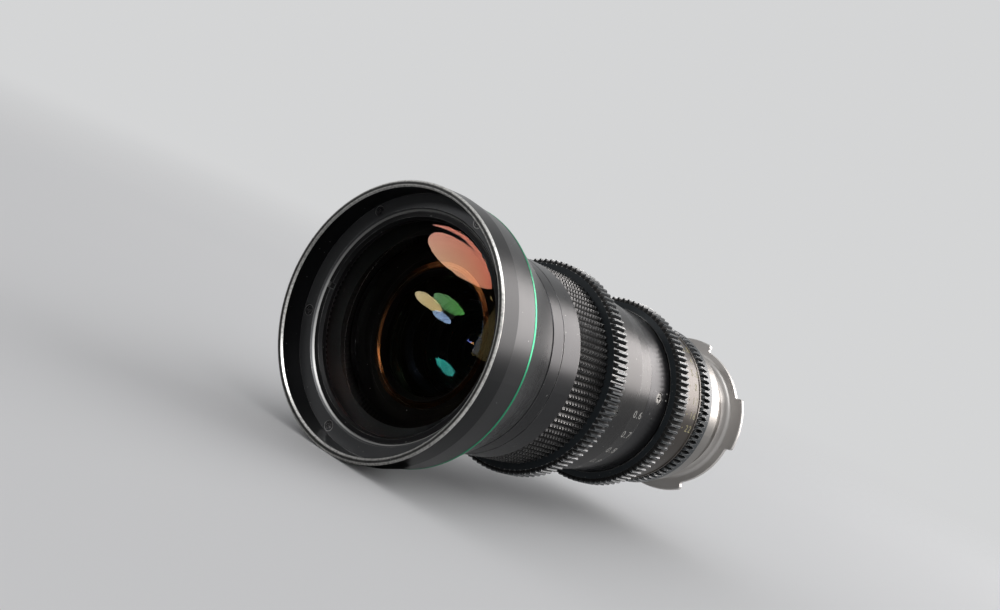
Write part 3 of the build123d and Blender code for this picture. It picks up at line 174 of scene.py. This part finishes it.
def metal_finish(name, colour, bare, gloss, wear, marks_per_metre, mark_depth, metal=0.6, gleam=0.35):
    """Turned metal with a finish on it, which is bare where its corners are rubbed through."""
    material, tree, shader = new_finish(name)
    wear_mask = use(tree, worn, {"Amount": wear})["Wear"]
    marks = use(tree, lathe, {"Per metre": marks_per_metre})["Marks"]
    dust = use(tree, dusty)
    darker = tuple(0.8 * part for part in colour)
    dust_colour = (0.32, 0.32, 0.31)
    dyed = blend_of(tree, dust["Smears"], darker, colour)
    rubbed_colour = blend_of(tree, wear_mask, dyed, bare)
    dusted = blend_of(tree, dust["Specks"], rubbed_colour, dust_colour)
    tree.links.new(dusted, shader.inputs["Base Color"])
    shader.inputs["Metallic"].default_value = metal
    shader.inputs["Specular IOR Level"].default_value = gleam
    smeared = ranged(tree, dust["Smears"], 0.0, 1.0, gloss - 0.05, gloss + 0.07)
    ridged = place(tree, "ShaderNodeMath", {0: marks, 1: 0.05, 2: smeared}, operation="MULTIPLY_ADD")
    tree.links.new(ridged.outputs[0], shader.inputs["Roughness"])
    bump = place(tree, "ShaderNodeBump", {"Strength": 0.25, "Distance": mark_depth, "Height": marks})
    tree.links.new(bump.outputs[0], shader.inputs["Normal"])
    return material


def lay_over(material, mask, colour):
    """Lays a colour over a finish where the mask is 1."""
    tree = material.node_tree
    base_colour = tree.nodes["Principled BSDF"].inputs["Base Color"]
    tree.links.new(blend_of(tree, mask, base_colour.links[0].from_socket, colour), base_colour)


def dress(names, material):
    """Gives CAD nodes a finish."""
    for name in names:
        nodes[name].data.materials.clear()
        nodes[name].data.materials.append(material)


hood_black = metal_finish(
    "hood black", colour=(0.012, 0.0125, 0.0135), bare=(0.55, 0.54, 0.52), gloss=0.27, wear=0.9,
    marks_per_metre=6000, mark_depth=0.00002, gleam=0.24,
)
tree = hood_black.node_tree
spot = use(tree, on_lens)
rim_depth = 0.0007
rim_middle_radius = 0.0488
on_rim = arithmetic(tree, "LESS_THAN", spot["Station"], rim_depth)
from_middle = arithmetic(tree, "SUBTRACT", spot["Radius"], rim_middle_radius)
rim_edges = ranged(tree, arithmetic(tree, "ABSOLUTE", from_middle), 0.0003, 0.0006, 0.12, 1.0)
scuffs = ranged(tree, noise(tree, 1100.0, detail=4.0), 0.3, 0.55, 0.55, 1.0)
bare_rim = arithmetic(tree, "MULTIPLY", arithmetic(tree, "MULTIPLY", on_rim, rim_edges), scuffs)
lay_over(hood_black, bare_rim, (0.72, 0.71, 0.68))
dress(["hood"], hood_black)


# Bezel: a flat turned ring on the hood's ledge, in the same black but thinner with wear, so that it
# shows grey. Its chamfer at the bore has a pale band painted on as a highlight. Blackened cross-head screws
# hold it.
bezel_black = metal_finish(
    "bezel black", colour=(0.12, 0.122, 0.126), bare=(0.62, 0.61, 0.6), gloss=0.46, wear=1.0,
    marks_per_metre=5000, mark_depth=0.00003, metal=0.8,
)
tree = bezel_black.node_tree
chamfer_outside = 0.0421
chamfer_inside = 0.0418
# Painted highlight: a pale band all round the chamfer at the bore
chamfer_highlight = ranged(tree, use(tree, on_lens)["Radius"], chamfer_outside, chamfer_inside)
lay_over(bezel_black, chamfer_highlight, (0.5, 0.5, 0.49))
dress(["front_bezel"], bezel_black)
blackened = metal_finish(
    "blackened screws", colour=(0.13, 0.13, 0.135), bare=(0.95, 0.94, 0.92), gloss=0.3, wear=2.5,
    marks_per_metre=9000, mark_depth=0.00001, metal=0.9,
)
dress(["bezel_screws", "neck_screws"], blackened)


# Front cell and the barrel, tube, housings and cells behind it: matt black with coarse turning rings,
# so that little light comes back. The retainers and the focus and variator cells are glossier.
inner_black = metal_finish(
    "matt inner black", colour=(0.004, 0.004, 0.004), bare=(0.04, 0.04, 0.04), gloss=0.75, wear=0.3,
    marks_per_metre=2500, mark_depth=0.00003, metal=0.0, gleam=0.06,
)
dress(
    ["front_cell", "guide_tube", "main_barrel", "iris_housing", "iris_cover", "relay_cell",
     "compensator_cell"],
    inner_black,
)
retainer_black = metal_finish(
    "retainer black", colour=(0.018, 0.018, 0.019), bare=(0.42, 0.42, 0.42), gloss=0.42, wear=0.9,
    marks_per_metre=7000, mark_depth=0.00003,
)
dress(["front_retainer", "rear_retainer", "focus_cell", "variator_cell"], retainer_black)

# Second retainer: polished black with an orange-brown colour painted on as a reflection, which shows as
# orange arcs in the front glass.
orange_reflection_black = metal_finish(
    "black with painted orange reflection", colour=(0.11, 0.035, 0.010), bare=(0.4, 0.15, 0.045), gloss=0.22, wear=0.9,
    marks_per_metre=7000, mark_depth=0.00003, metal=1.0,
)
dress(["second_retainer"], orange_reflection_black)


# Glass: ground and polished elements. Each polished face has its own thin coating, which tints what
# it reflects, and each rim is ground and painted black. They are turned up here ring by ring, finely
# enough for clean reflections, and stand for the plainer CAD solids.
segments = 128
rings_per_face = 20
axis_hole = 0.00002


def turned(name, rings):
    """Closed solid of revolution from (station, radius) rings; the first and last lie at the axis."""
    bpy.ops.object.select_all(action="DESELECT")
    (station, radius), *others = rings
    bpy.ops.mesh.primitive_circle_add(
        vertices=segments, radius=radius, location=(0, station - rim_to_seat, 0), rotation=(pi / 2, 0, 0)
    )
    piece = bpy.context.object
    piece.name = name
    bpy.ops.object.transform_apply(location=True, rotation=True, scale=True)
    bpy.ops.object.mode_set(mode="EDIT")
    bpy.ops.mesh.select_all(action="SELECT")
    for next_station, next_radius in others:
        step = next_station - station
        grow = next_radius / radius
        bpy.ops.mesh.extrude_edges_move(TRANSFORM_OT_translate={"value": (0, step, 0)})
        bpy.ops.transform.resize(value=(grow, 1, grow), center_override=(0, 0, 0))
        station, radius = next_station, next_radius
    bpy.ops.mesh.select_all(action="SELECT")
    bpy.ops.mesh.remove_doubles(threshold=0.000002)
    bpy.ops.mesh.select_non_manifold()
    bpy.ops.mesh.edge_face_add()
    bpy.ops.mesh.select_all(action="SELECT")
    bpy.ops.mesh.normals_make_consistent(inside=False)
    bpy.ops.object.mode_set(mode="OBJECT")
    return piece


def cap_depth(curve, radius):
    """Depth of a polished face at a radius; a positive curve bends back towards the mount."""
    return curve - sqrt(curve**2 - radius**2) if curve > 0 else curve + sqrt(curve**2 - radius**2)


def face_rings(apex, curve, clear):
    """Rings of one polished face, from near its apex out to its clear radius."""
    radii = [clear * ring / rings_per_face for ring in range(1, rings_per_face + 1)]
    return [(apex + cap_depth(curve, radius), radius) for radius in radii]


def polished_face(tint, strength, rim_tint=None):
    """Clear glass with a coating that tints its reflections, in a second tint towards the rim if given."""
    material, tree, shader = new_finish("coated face")
    specks = use(tree, dusty, {"Specks per metre": 420.0})["Specks"]
    film = blend_of(tree, specks, (0.985, 0.99, 0.985), (0.7, 0.7, 0.68))
    tree.links.new(film, shader.inputs["Base Color"])
    shader.inputs["Transmission Weight"].default_value = 1.0
    shader.inputs["Roughness"].default_value = 0.0
    shader.inputs["IOR"].default_value = 1.52
    shader.inputs["Specular IOR Level"].default_value = strength
    shader.inputs["Specular Tint"].default_value = (*tint, 1.0)
    if rim_tint:
        tint_starts, tint_ends = 0.025, 0.038
        outward = ranged(tree, use(tree, on_lens)["Radius"], tint_starts, tint_ends)
        tree.links.new(blend_of(tree, outward, tint, rim_tint), shader.inputs["Specular Tint"])
    return material


ground_rim, tree, shader = new_finish("ground and blacked rim")
rim_colour = blend_of(tree, noise(tree, 2500.0), (0.006, 0.006, 0.006), (0.02, 0.02, 0.02))
tree.links.new(rim_colour, shader.inputs["Base Color"])
shader.inputs["Roughness"].default_value = 0.6


def element(node, body, apex, thick, curves, clear, seats, rim, coatings):
    """A glass element from its front apex and its thickness on the axis.

    curves and clear are the radii of its two polished faces and of their clear openings, seats the
    stations where the rim starts and ends, and coatings what polished_face takes for each face.
    """
    front = face_rings(apex, curves[0], clear[0])
    back = face_rings(apex + thick, curves[1], clear[1])
    edge = [(seats[0], rim), (seats[1], rim)]
    rings = [(apex, axis_hole), *front, *edge, *reversed(back), (apex + thick, axis_hole)]
    piece = turned(node + "_coated", rings)
    for coating in coatings:
        piece.data.materials.append(polished_face(*coating))
    piece.data.materials.append(ground_rim)
    for face in piece.data.polygons:
        distance = Vector((face.center.x, face.center.z)).length
        past_front = distance > clear[0] and face.normal.y < 0.3
        past_back = distance > clear[1] and face.normal.y > -0.3
        if past_front or past_back:
            face.material_index = 2
        else:
            face.material_index = 0 if face.normal.y < 0 else 1
    bpy.ops.object.shade_smooth_by_angle(angle=radians(25))
    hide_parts(node)
    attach(piece, body)


element(
    "front_glass", "fixed_barrel", apex=0.0086, thick=0.0046,
    curves=(0.150, 0.070), clear=(0.0386, 0.0336), seats=(0.0136, 0.0220), rim=0.0412,
    coatings=(((1.0, 0.54, 0.28), 0.3, (1.0, 0.24, 0.14)), ((1.0, 0.72, 0.3), 0.16)),
)
element(
    "second_glass", "fixed_barrel", apex=0.0240, thick=0.0040,
    curves=(0.095, 0.058), clear=(0.0246, 0.0226), seats=(0.0286, 0.0360), rim=0.0274,
    coatings=(((0.12, 0.40, 0.08), 0.12), ((0.45, 0.65, 1.0), 0.16)),
)
element(
    "focus_glass_front", "focus_group", apex=0.0582, thick=0.0030,
    curves=(-0.047, 0.044), clear=(0.0196, 0.0184), seats=(0.0576, 0.0646), rim=0.0214,
    coatings=(((0.05, 0.6, 0.5), 0.32), ((0.2, 0.3, 1.0), 0.6)),
)
element(
    "focus_glass_rear", "focus_group", apex=0.0640, thick=0.0044,
    curves=(0.048, 0.210), clear=(0.0184, 0.0196), seats=(0.0678, 0.0704), rim=0.0214,
    coatings=(((0.95, 0.45, 0.12), 0.24), ((0.1, 0.7, 0.55), 0.3)),
)
element(
    "variator_glass", "variator_group", apex=0.0776, thick=0.0030,
    curves=(-0.090, 0.038), clear=(0.0164, 0.0154), seats=(0.0756, 0.0844), rim=0.0180,
    coatings=(((0.2, 0.3, 1.0), 0.3), ((1.0, 0.2, 0.16), 0.3)),
)
element(
    "compensator_glass", "compensator_group", apex=0.1322, thick=0.0050,
    curves=(0.052, -0.080), clear=(0.0144, 0.0144), seats=(0.1346, 0.1356), rim=0.0160,
    coatings=(((0.4, 0.3, 1.0), 0.14), ((0.9, 0.4, 0.2), 0.12)),
)
element(
    "relay_glass_front", "fixed_barrel", apex=0.1650, thick=0.0060,
    curves=(0.046, -0.120), clear=(0.0168, 0.0168), seats=(0.1684, 0.1696), rim=0.0184,
    coatings=(((0.3, 0.4, 0.5), 0.08), ((0.5, 0.4, 0.3), 0.08)),
)
element(
    "relay_glass_middle", "fixed_barrel", apex=0.1820, thick=0.0026,
    curves=(-0.060, 0.052), clear=(0.0160, 0.0160), seats=(0.1804, 0.1870), rim=0.0184,
    coatings=(((0.5, 0.4, 0.3), 0.08), ((0.3, 0.4, 0.5), 0.08)),
)
element(
    "rear_glass", "fixed_barrel", apex=0.1966, thick=0.0064,
    curves=(0.070, -0.044), clear=(0.0164, 0.0164), seats=(0.1986, 0.1999), rim=0.0184,
    coatings=(((0.3, 0.4, 0.5), 0.1), ((0.8, 0.4, 0.2), 0.15)),
)


# Colour ring: a thin emerald anodised ring clamped between the hood and the shoulder.
emerald = metal_finish(
    "emerald", colour=(0.004, 0.33, 0.15), bare=(0.35, 0.6, 0.45), gloss=0.3, wear=0.3,
    marks_per_metre=9000, mark_depth=0.00001, metal=0.5,
)
dress(["colour_ring"], emerald)


# Shoulder, name band, index barrel: the fixed black shells behind the hood, satin and lightly worn.
shell_black = metal_finish(
    "shell black", colour=(0.018, 0.018, 0.0195), bare=(0.5, 0.49, 0.48), gloss=0.25, wear=0.8,
    marks_per_metre=7000, mark_depth=0.00002, gleam=0.24,
)
dress(["shoulder", "name_band", "index_barrel"], shell_black)


# Focus grip: rows of small pyramids cut in the ring, black, with painted shade that blackens and dulls the
# grooves, and brighter along their tops where hands rub.
# Painted shade in the gaps between teeth and ridges: full at their floors, fading out towards their tops,
# none below the roots
gap_shade, start, ends = new_group(
    "painted shade in the gaps", {"Root radius": 0.04, "Floor radius": 0.0401, "Top radius": 0.042}, ("Unshaded",)
)
spot = use(gap_shade, on_lens)
risen = ranged(
    gap_shade, spot["Radius"], start.outputs["Floor radius"], start.outputs["Top radius"],
    interpolation_type="SMOOTHSTEP",
)
under_root = arithmetic(gap_shade, "LESS_THAN", spot["Radius"], start.outputs["Root radius"])
gap_shade.links.new(arithmetic(gap_shade, "MAXIMUM", risen, under_root), ends.inputs["Unshaded"])


def darken_gaps(material, root_radius, floor_radius, top_radius):
    """Paints shade into a finish: blackens and dulls it from the roots of teeth or ridges up, less and less
    to their tops.
    """
    tree = material.node_tree
    radii = {"Root radius": root_radius, "Floor radius": floor_radius, "Top radius": top_radius}
    unshaded = use(tree, gap_shade, radii)["Unshaded"]
    shader = tree.nodes["Principled BSDF"]
    colour = shader.inputs["Base Color"].links[0].from_socket
    gloss = shader.inputs["Roughness"].links[0].from_socket
    # Colour and roughness of the painted shade deep in the gaps
    gap_shade_colour = (0.004, 0.004, 0.004)
    gap_roughness = 0.8
    dulled = place(tree, "ShaderNodeMix", {"Factor": unshaded, "A": gap_roughness, "B": gloss}, data_type="FLOAT")
    tree.links.new(blend_of(tree, unshaded, gap_shade_colour, colour), shader.inputs["Base Color"])
    tree.links.new(dulled.outputs["Result"], shader.inputs["Roughness"])


grip_black = metal_finish(
    "grip black", colour=(0.022, 0.022, 0.023), bare=(0.5, 0.49, 0.47), gloss=0.34, wear=0.9,
    marks_per_metre=7000, mark_depth=0.00001,
)
darken_gaps(grip_black, root_radius=0.03690, floor_radius=0.0370, top_radius=0.0376)
dress(["focus_grip"], grip_black)

# Gears: a slightly paler black, with the lands of the teeth polished by the gears that have run on
# them and painted shade between the teeth.
for name, root_radius, floor_radius, top_radius in (
    ("focus_gear", 0.04030, 0.0411, 0.0417), ("zoom_gear", 0.03650, 0.0375, 0.0381),
    ("iris_gear", 0.03185, 0.0327, 0.0333),
):
    gear_black = metal_finish(
        name + " black", colour=(0.038, 0.045, 0.05), bare=(0.75, 0.74, 0.72), gloss=0.28, wear=1.6,
        marks_per_metre=7000, mark_depth=0.00001, metal=0.25,
    )
    darken_gaps(gear_black, root_radius, floor_radius, top_radius)
    dress([name], gear_black)

# Focus sleeve and the zoom and iris rings: black scale bands. The iris ring's black has turned brownish.
scale_black = metal_finish(
    "scale black", colour=(0.019, 0.0182, 0.018), bare=(0.5, 0.49, 0.48), gloss=0.24, wear=0.8,
    marks_per_metre=7000, mark_depth=0.00002, gleam=0.24,
)
dress(["focus_sleeve", "zoom_ring"], scale_black)
iris_black = metal_finish(
    "iris scale black", colour=(0.045, 0.036, 0.029), bare=(0.5, 0.47, 0.42), gloss=0.27, wear=0.8,
    marks_per_metre=7000, mark_depth=0.00002,
)
dress(["iris_ring"], iris_black)


# Numbers: generic focus, zoom and iris scales in pale paint. Each number is a thin solid that lies on
# its band with its foot towards the floor side, and its turn round the axis counts from straight up.
def numeral(text, station, angle, radius, height, slope):
    """One number as a thin solid, flat on a band at its station, turn, radius and slope."""
    bpy.ops.object.select_all(action="DESELECT")
    bpy.ops.object.text_add()
    label = bpy.context.object
    label.data.body = text
    label.data.align_x = "CENTER"
    label.data.align_y = "CENTER"
    label.data.size = height * 1.35
    label.data.extrude = 0.00003
    label.data.resolution_u = 3
    label.data.space_character = 1.25
    bpy.ops.object.convert(target="MESH")
    outward = Vector((sin(radians(angle)), 0, cos(radians(angle))))
    along = Vector((0, cos(slope), 0)) - sin(slope) * outward
    upwards = outward.cross(Vector((0, 1, 0)))
    turned_to = Matrix((along, upwards, along.cross(upwards))).transposed()
    on_band = outward * radius + Vector((0, station - rim_to_seat, 0))
    label.matrix_world = Matrix.Translation(on_band) @ turned_to.to_4x4()
    bpy.ops.object.transform_apply(location=True, rotation=True, scale=True)
    return label


def painted(name, body, paint, marks):
    """Joins the marks of one band to one painted piece."""
    for mark in marks:
        mark.select_set(True)
    bpy.ops.object.join()
    piece = bpy.context.object
    piece.name = name
    piece.data.materials.clear()
    piece.data.materials.append(paint)
    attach(piece, body)


def scale_of(name, body, paint, numbers, band):
    """The numbers of one band, from (text, turn in degrees) pairs."""
    painted(name, body, paint, [numeral(text, angle=angle, **band) for text, angle in numbers])


def paint_of(name, colour):
    """Matt paint of the numbers and dots, thin in places."""
    material, tree, shader = new_finish(name)
    filled = ranged(tree, noise(tree, 1800.0, detail=3.0), 0.4, 0.6)
    faint = tuple(0.45 * part for part in colour)
    tree.links.new(blend_of(tree, filled, faint, colour), shader.inputs["Base Color"])
    shader.inputs["Roughness"].default_value = 0.6
    return material


white_paint = paint_of("white scale paint", (0.5, 0.49, 0.46))
yellow_paint = paint_of("yellow scale paint", (0.42, 0.37, 0.16))
scale_of(
    "focus_numbers", "focus_ring", white_paint,
    [("0.6", 89.4), ("0.7", 104), ("0.8", 118), ("0.9", 131), ("1", 144), ("1.2", 157), ("1.5", 171),
     ("2", 186), ("3", 201), ("5", 214), ("\u221e", 225)],
    {"station": 0.1163, "radius": 0.03508, "height": 0.0032, "slope": 0.075},
)
scale_of(
    "zoom_numbers", "zoom_ring_body", white_paint,
    [("25", 75), ("30", 62), ("40", 48), ("50", 36), ("75", 20), ("100", 8), ("150", -8), ("200", -18),
     ("250", -27)],
    {"station": 0.1469, "radius": 0.03453, "height": 0.0021, "slope": 0.098},
)
scale_of(
    "iris_numbers", "iris_ring_body", yellow_paint,
    [("2.8", 29), ("4", 39), ("5.6", 49), ("8", 59), ("11", 69), ("16", 79.2), ("22", 88.9)],
    {"station": 0.1578, "radius": 0.03314, "height": 0.0031, "slope": 0.022},
)


# Dots: two on the index barrel that the scales are read against, and one beside each iris number.
def dots_of(name, body, paint, places, radius):
    """Small round dots of paint at (station, turn) places on a band."""
    bpy.ops.object.select_all(action="DESELECT")
    dots = []
    for station, angle in places:
        bpy.ops.mesh.primitive_cylinder_add(
            vertices=12, radius=0.0003, depth=0.00006,
            location=(radius * sin(radians(angle)), station - rim_to_seat, radius * cos(radians(angle))),
            rotation=(0, radians(angle), 0),
        )
        bpy.ops.object.transform_apply(location=True, rotation=True, scale=True)
        dots.append(bpy.context.object)
    painted(name, body, paint, dots)


first_stop_angle = 29
stop_step = 9.97
dots_of("index_dots", "fixed_barrel", white_paint, [(0.1342, 70.4), (0.1342, 74.9)], 0.03378)
dots_of(
    "iris_dots", "iris_ring_body", yellow_paint,
    [(0.1529, first_stop_angle + stop_step * stop) for stop in range(7)], 0.03328,
)


# Screws, pins and keys of the barrel: plain dark steel, turned and polished.
steel = metal_finish(
    "screw steel", colour=(0.085, 0.084, 0.08), bare=(0.4, 0.39, 0.37), gloss=0.24, wear=0.8,
    marks_per_metre=12000, mark_depth=0.00001, metal=1.0,
)
dress(
    ["focus_sleeve_screws", "index_screws", "focus_pins", "variator_pins", "compensator_pins", "focus_key",
     "zoom_key", "iris_key"],
    steel,
)

# Rear barrel and mount: bright satin metal, turned, a little warm.
rear_bright = metal_finish(
    "rear bright", colour=(0.25, 0.238, 0.223), bare=(0.7, 0.69, 0.67), gloss=0.3, wear=0.6,
    marks_per_metre=8000, mark_depth=0.00002, metal=1.0,
)
dress(["rear_barrel"], rear_bright)
mount_bright = metal_finish(
    "mount bright", colour=(0.58, 0.56, 0.54), bare=(0.8, 0.79, 0.77), gloss=0.42, wear=0.6,
    marks_per_metre=8000, mark_depth=0.00002,
)
dress(["mount_flange"], mount_bright)

# Cams and shim: turned brass. Blades: thin blued steel.
brass = metal_finish(
    "cam brass", colour=(0.62, 0.44, 0.17), bare=(0.8, 0.65, 0.35), gloss=0.3, wear=0.6,
    marks_per_metre=8000, mark_depth=0.00002, metal=1.0,
)
dress(["focus_cam", "zoom_cam", "iris_cam_ring", "flange_shim"], brass)
blued = metal_finish(
    "blued steel", colour=(0.035, 0.037, 0.05), bare=(0.3, 0.3, 0.32), gloss=0.36, wear=0.6,
    marks_per_metre=8000, mark_depth=0.00001,
)
dress([f"iris_blade_{blade}" for blade in range(1, 7)], blued)


# The stage: soft studio light. The key softbox lights the surfaces. The gloss panel, the front lamp
# and the lamp above show only as reflections, the front lamp as a leaf of light in the front glass.
def area_light(name, place_at, aim, size, radiance, shape="RECTANGLE"):
    """Soft lamp of a given size that faces a point; its power follows from its brightness and area."""
    lamp = bpy.data.lights.new(name, "AREA")
    lamp.shape = shape
    lamp.size, lamp.size_y = size
    area = size[0] * size[1] * (pi / 4 if shape == "ELLIPSE" else 1.0)
    lamp.energy = radiance * area * pi
    light = bpy.data.objects.new(name, lamp)
    light.location = place_at
    light.rotation_euler = (Vector(aim) - Vector(place_at)).to_track_quat("-Z", "Y").to_euler()
    light.visible_camera = False
    bpy.context.scene.collection.objects.link(light)
    return light


key = area_light(
    "key softbox", place_at=(0.50, 0.85, 0.62), aim=(0, -0.1, 0), size=(1.3, 0.95), radiance=1.3
)
key.visible_glossy = False
panel = area_light(
    "gloss panel", place_at=(0.62, 0.98, 0.62), aim=(0, -0.1, 0.06), size=(1.4, 0.85), radiance=8.0
)
panel.visible_diffuse = False
panel.data.color = (1.0, 0.95, 0.93)
front = area_light(
    "front lamp", place_at=(-0.651, -1.18, 0.357), aim=(0.012, -0.185, 0.03), size=(0.70, 0.17), radiance=9.5,
    shape="ELLIPSE",
)
front.visible_diffuse = False
above = area_light(
    "lamp above the front", place_at=(0.34, -0.80, 0.97), aim=(0, -0.19, 0), size=(0.5, 0.5), radiance=9.0
)
above.visible_diffuse = False

# Floor: pale and matt, just under the hood, and fading into the pale background.
floor_height = -0.0501
bpy.ops.mesh.primitive_circle_add(vertices=96, radius=3.0, fill_type="NGON", location=(0, 0, floor_height))
floor = bpy.context.object
floor.name = "stage_floor"
floor_paint, tree, shader = new_finish("pale floor")
floor_colour = blend_of(tree, noise(tree, 3.0), (0.74, 0.745, 0.75), (0.78, 0.78, 0.78))
tree.links.new(floor_colour, shader.inputs["Base Color"])
shader.inputs["Roughness"].default_value = 0.85
shader.inputs["Specular IOR Level"].default_value = 0.0
fade_starts, fade_ends = 0.35, 1.2
away = place(tree, "ShaderNodeVectorMath", {0: row_point(tree)}, operation="LENGTH").outputs["Value"]
fade = ranged(tree, away, fade_starts, fade_ends, 1.0, 0.0, interpolation_type="SMOOTHSTEP")
clear = place(tree, "ShaderNodeBsdfTransparent")
faded = place(tree, "ShaderNodeMixShader", {0: fade, 1: clear.outputs[0], 2: shader.outputs[0]})
tree.links.new(faded.outputs[0], tree.nodes["Material Output"].inputs["Surface"])
floor.data.materials.append(floor_paint)

# Background: a shade paler where it is seen, mirrored or seen through glass than where it only lights.
world = bpy.data.worlds.new("studio")
bpy.context.scene.world = world
world.use_nodes = True
tree = world.node_tree
rays = place(tree, "ShaderNodeLightPath").outputs
seen_or_mirrored = arithmetic(tree, "MAXIMUM", rays["Is Camera Ray"], rays["Is Glossy Ray"])
shown = arithmetic(tree, "MAXIMUM", seen_or_mirrored, rays["Is Transmission Ray"])
background_colour = blend_of(tree, shown, (0.62, 0.62, 0.63), (0.66, 0.665, 0.67))
tree.links.new(background_colour, tree.nodes["Background"].inputs["Color"])

# Dark cloth: lies ahead of the lens and hangs behind the front lamp, seen only in reflections, so
# that the front glass has black round the lamp. It is a strip whose far edge is turned up.
cloth_width = 3.8
cloth_length = 1.56
cloth_drop = 2.6
cloth_middle = -0.77
cloth_height = floor_height + 0.0006
bpy.ops.object.select_all(action="DESELECT")
bpy.ops.mesh.primitive_plane_add(size=1.0, location=(0.6, cloth_middle, 0))
cloth = bpy.context.object
cloth.name = "stage_dark_cloth"
bpy.ops.transform.resize(value=(cloth_width, cloth_length, 1))
bpy.ops.object.transform_apply(location=True, rotation=True, scale=True)
bpy.ops.object.mode_set(mode="EDIT")
bpy.ops.mesh.select_all(action="DESELECT")
bpy.ops.object.mode_set(mode="OBJECT")
for corner in cloth.data.vertices:
    corner.select = corner.co.y < cloth_middle
bpy.ops.object.mode_set(mode="EDIT")
bpy.ops.mesh.select_mode(type="VERT")
bpy.ops.mesh.extrude_edges_move(TRANSFORM_OT_translate={"value": (0, 0, cloth_drop)})
bpy.ops.object.mode_set(mode="OBJECT")
cloth.rotation_euler = (0, 0, radians(-38))
cloth.location = (0, -0.17, cloth_height)
bpy.ops.object.transform_apply(location=True, rotation=True, scale=True)
cloth_black, tree, shader = new_finish("cloth black")
nap = place(tree, "ShaderNodeTexNoise", {"Scale": 200.0}).outputs["Fac"]
cloth_colour = blend_of(tree, nap, (0.003, 0.003, 0.003), (0.008, 0.008, 0.008))
tree.links.new(cloth_colour, shader.inputs["Base Color"])
shader.inputs["Roughness"].default_value = 1.0
shader.inputs["Specular IOR Level"].default_value = 0.0
cloth.data.materials.append(cloth_black)
cloth.visible_camera = False
cloth.visible_diffuse = False
cloth.visible_shadow = False
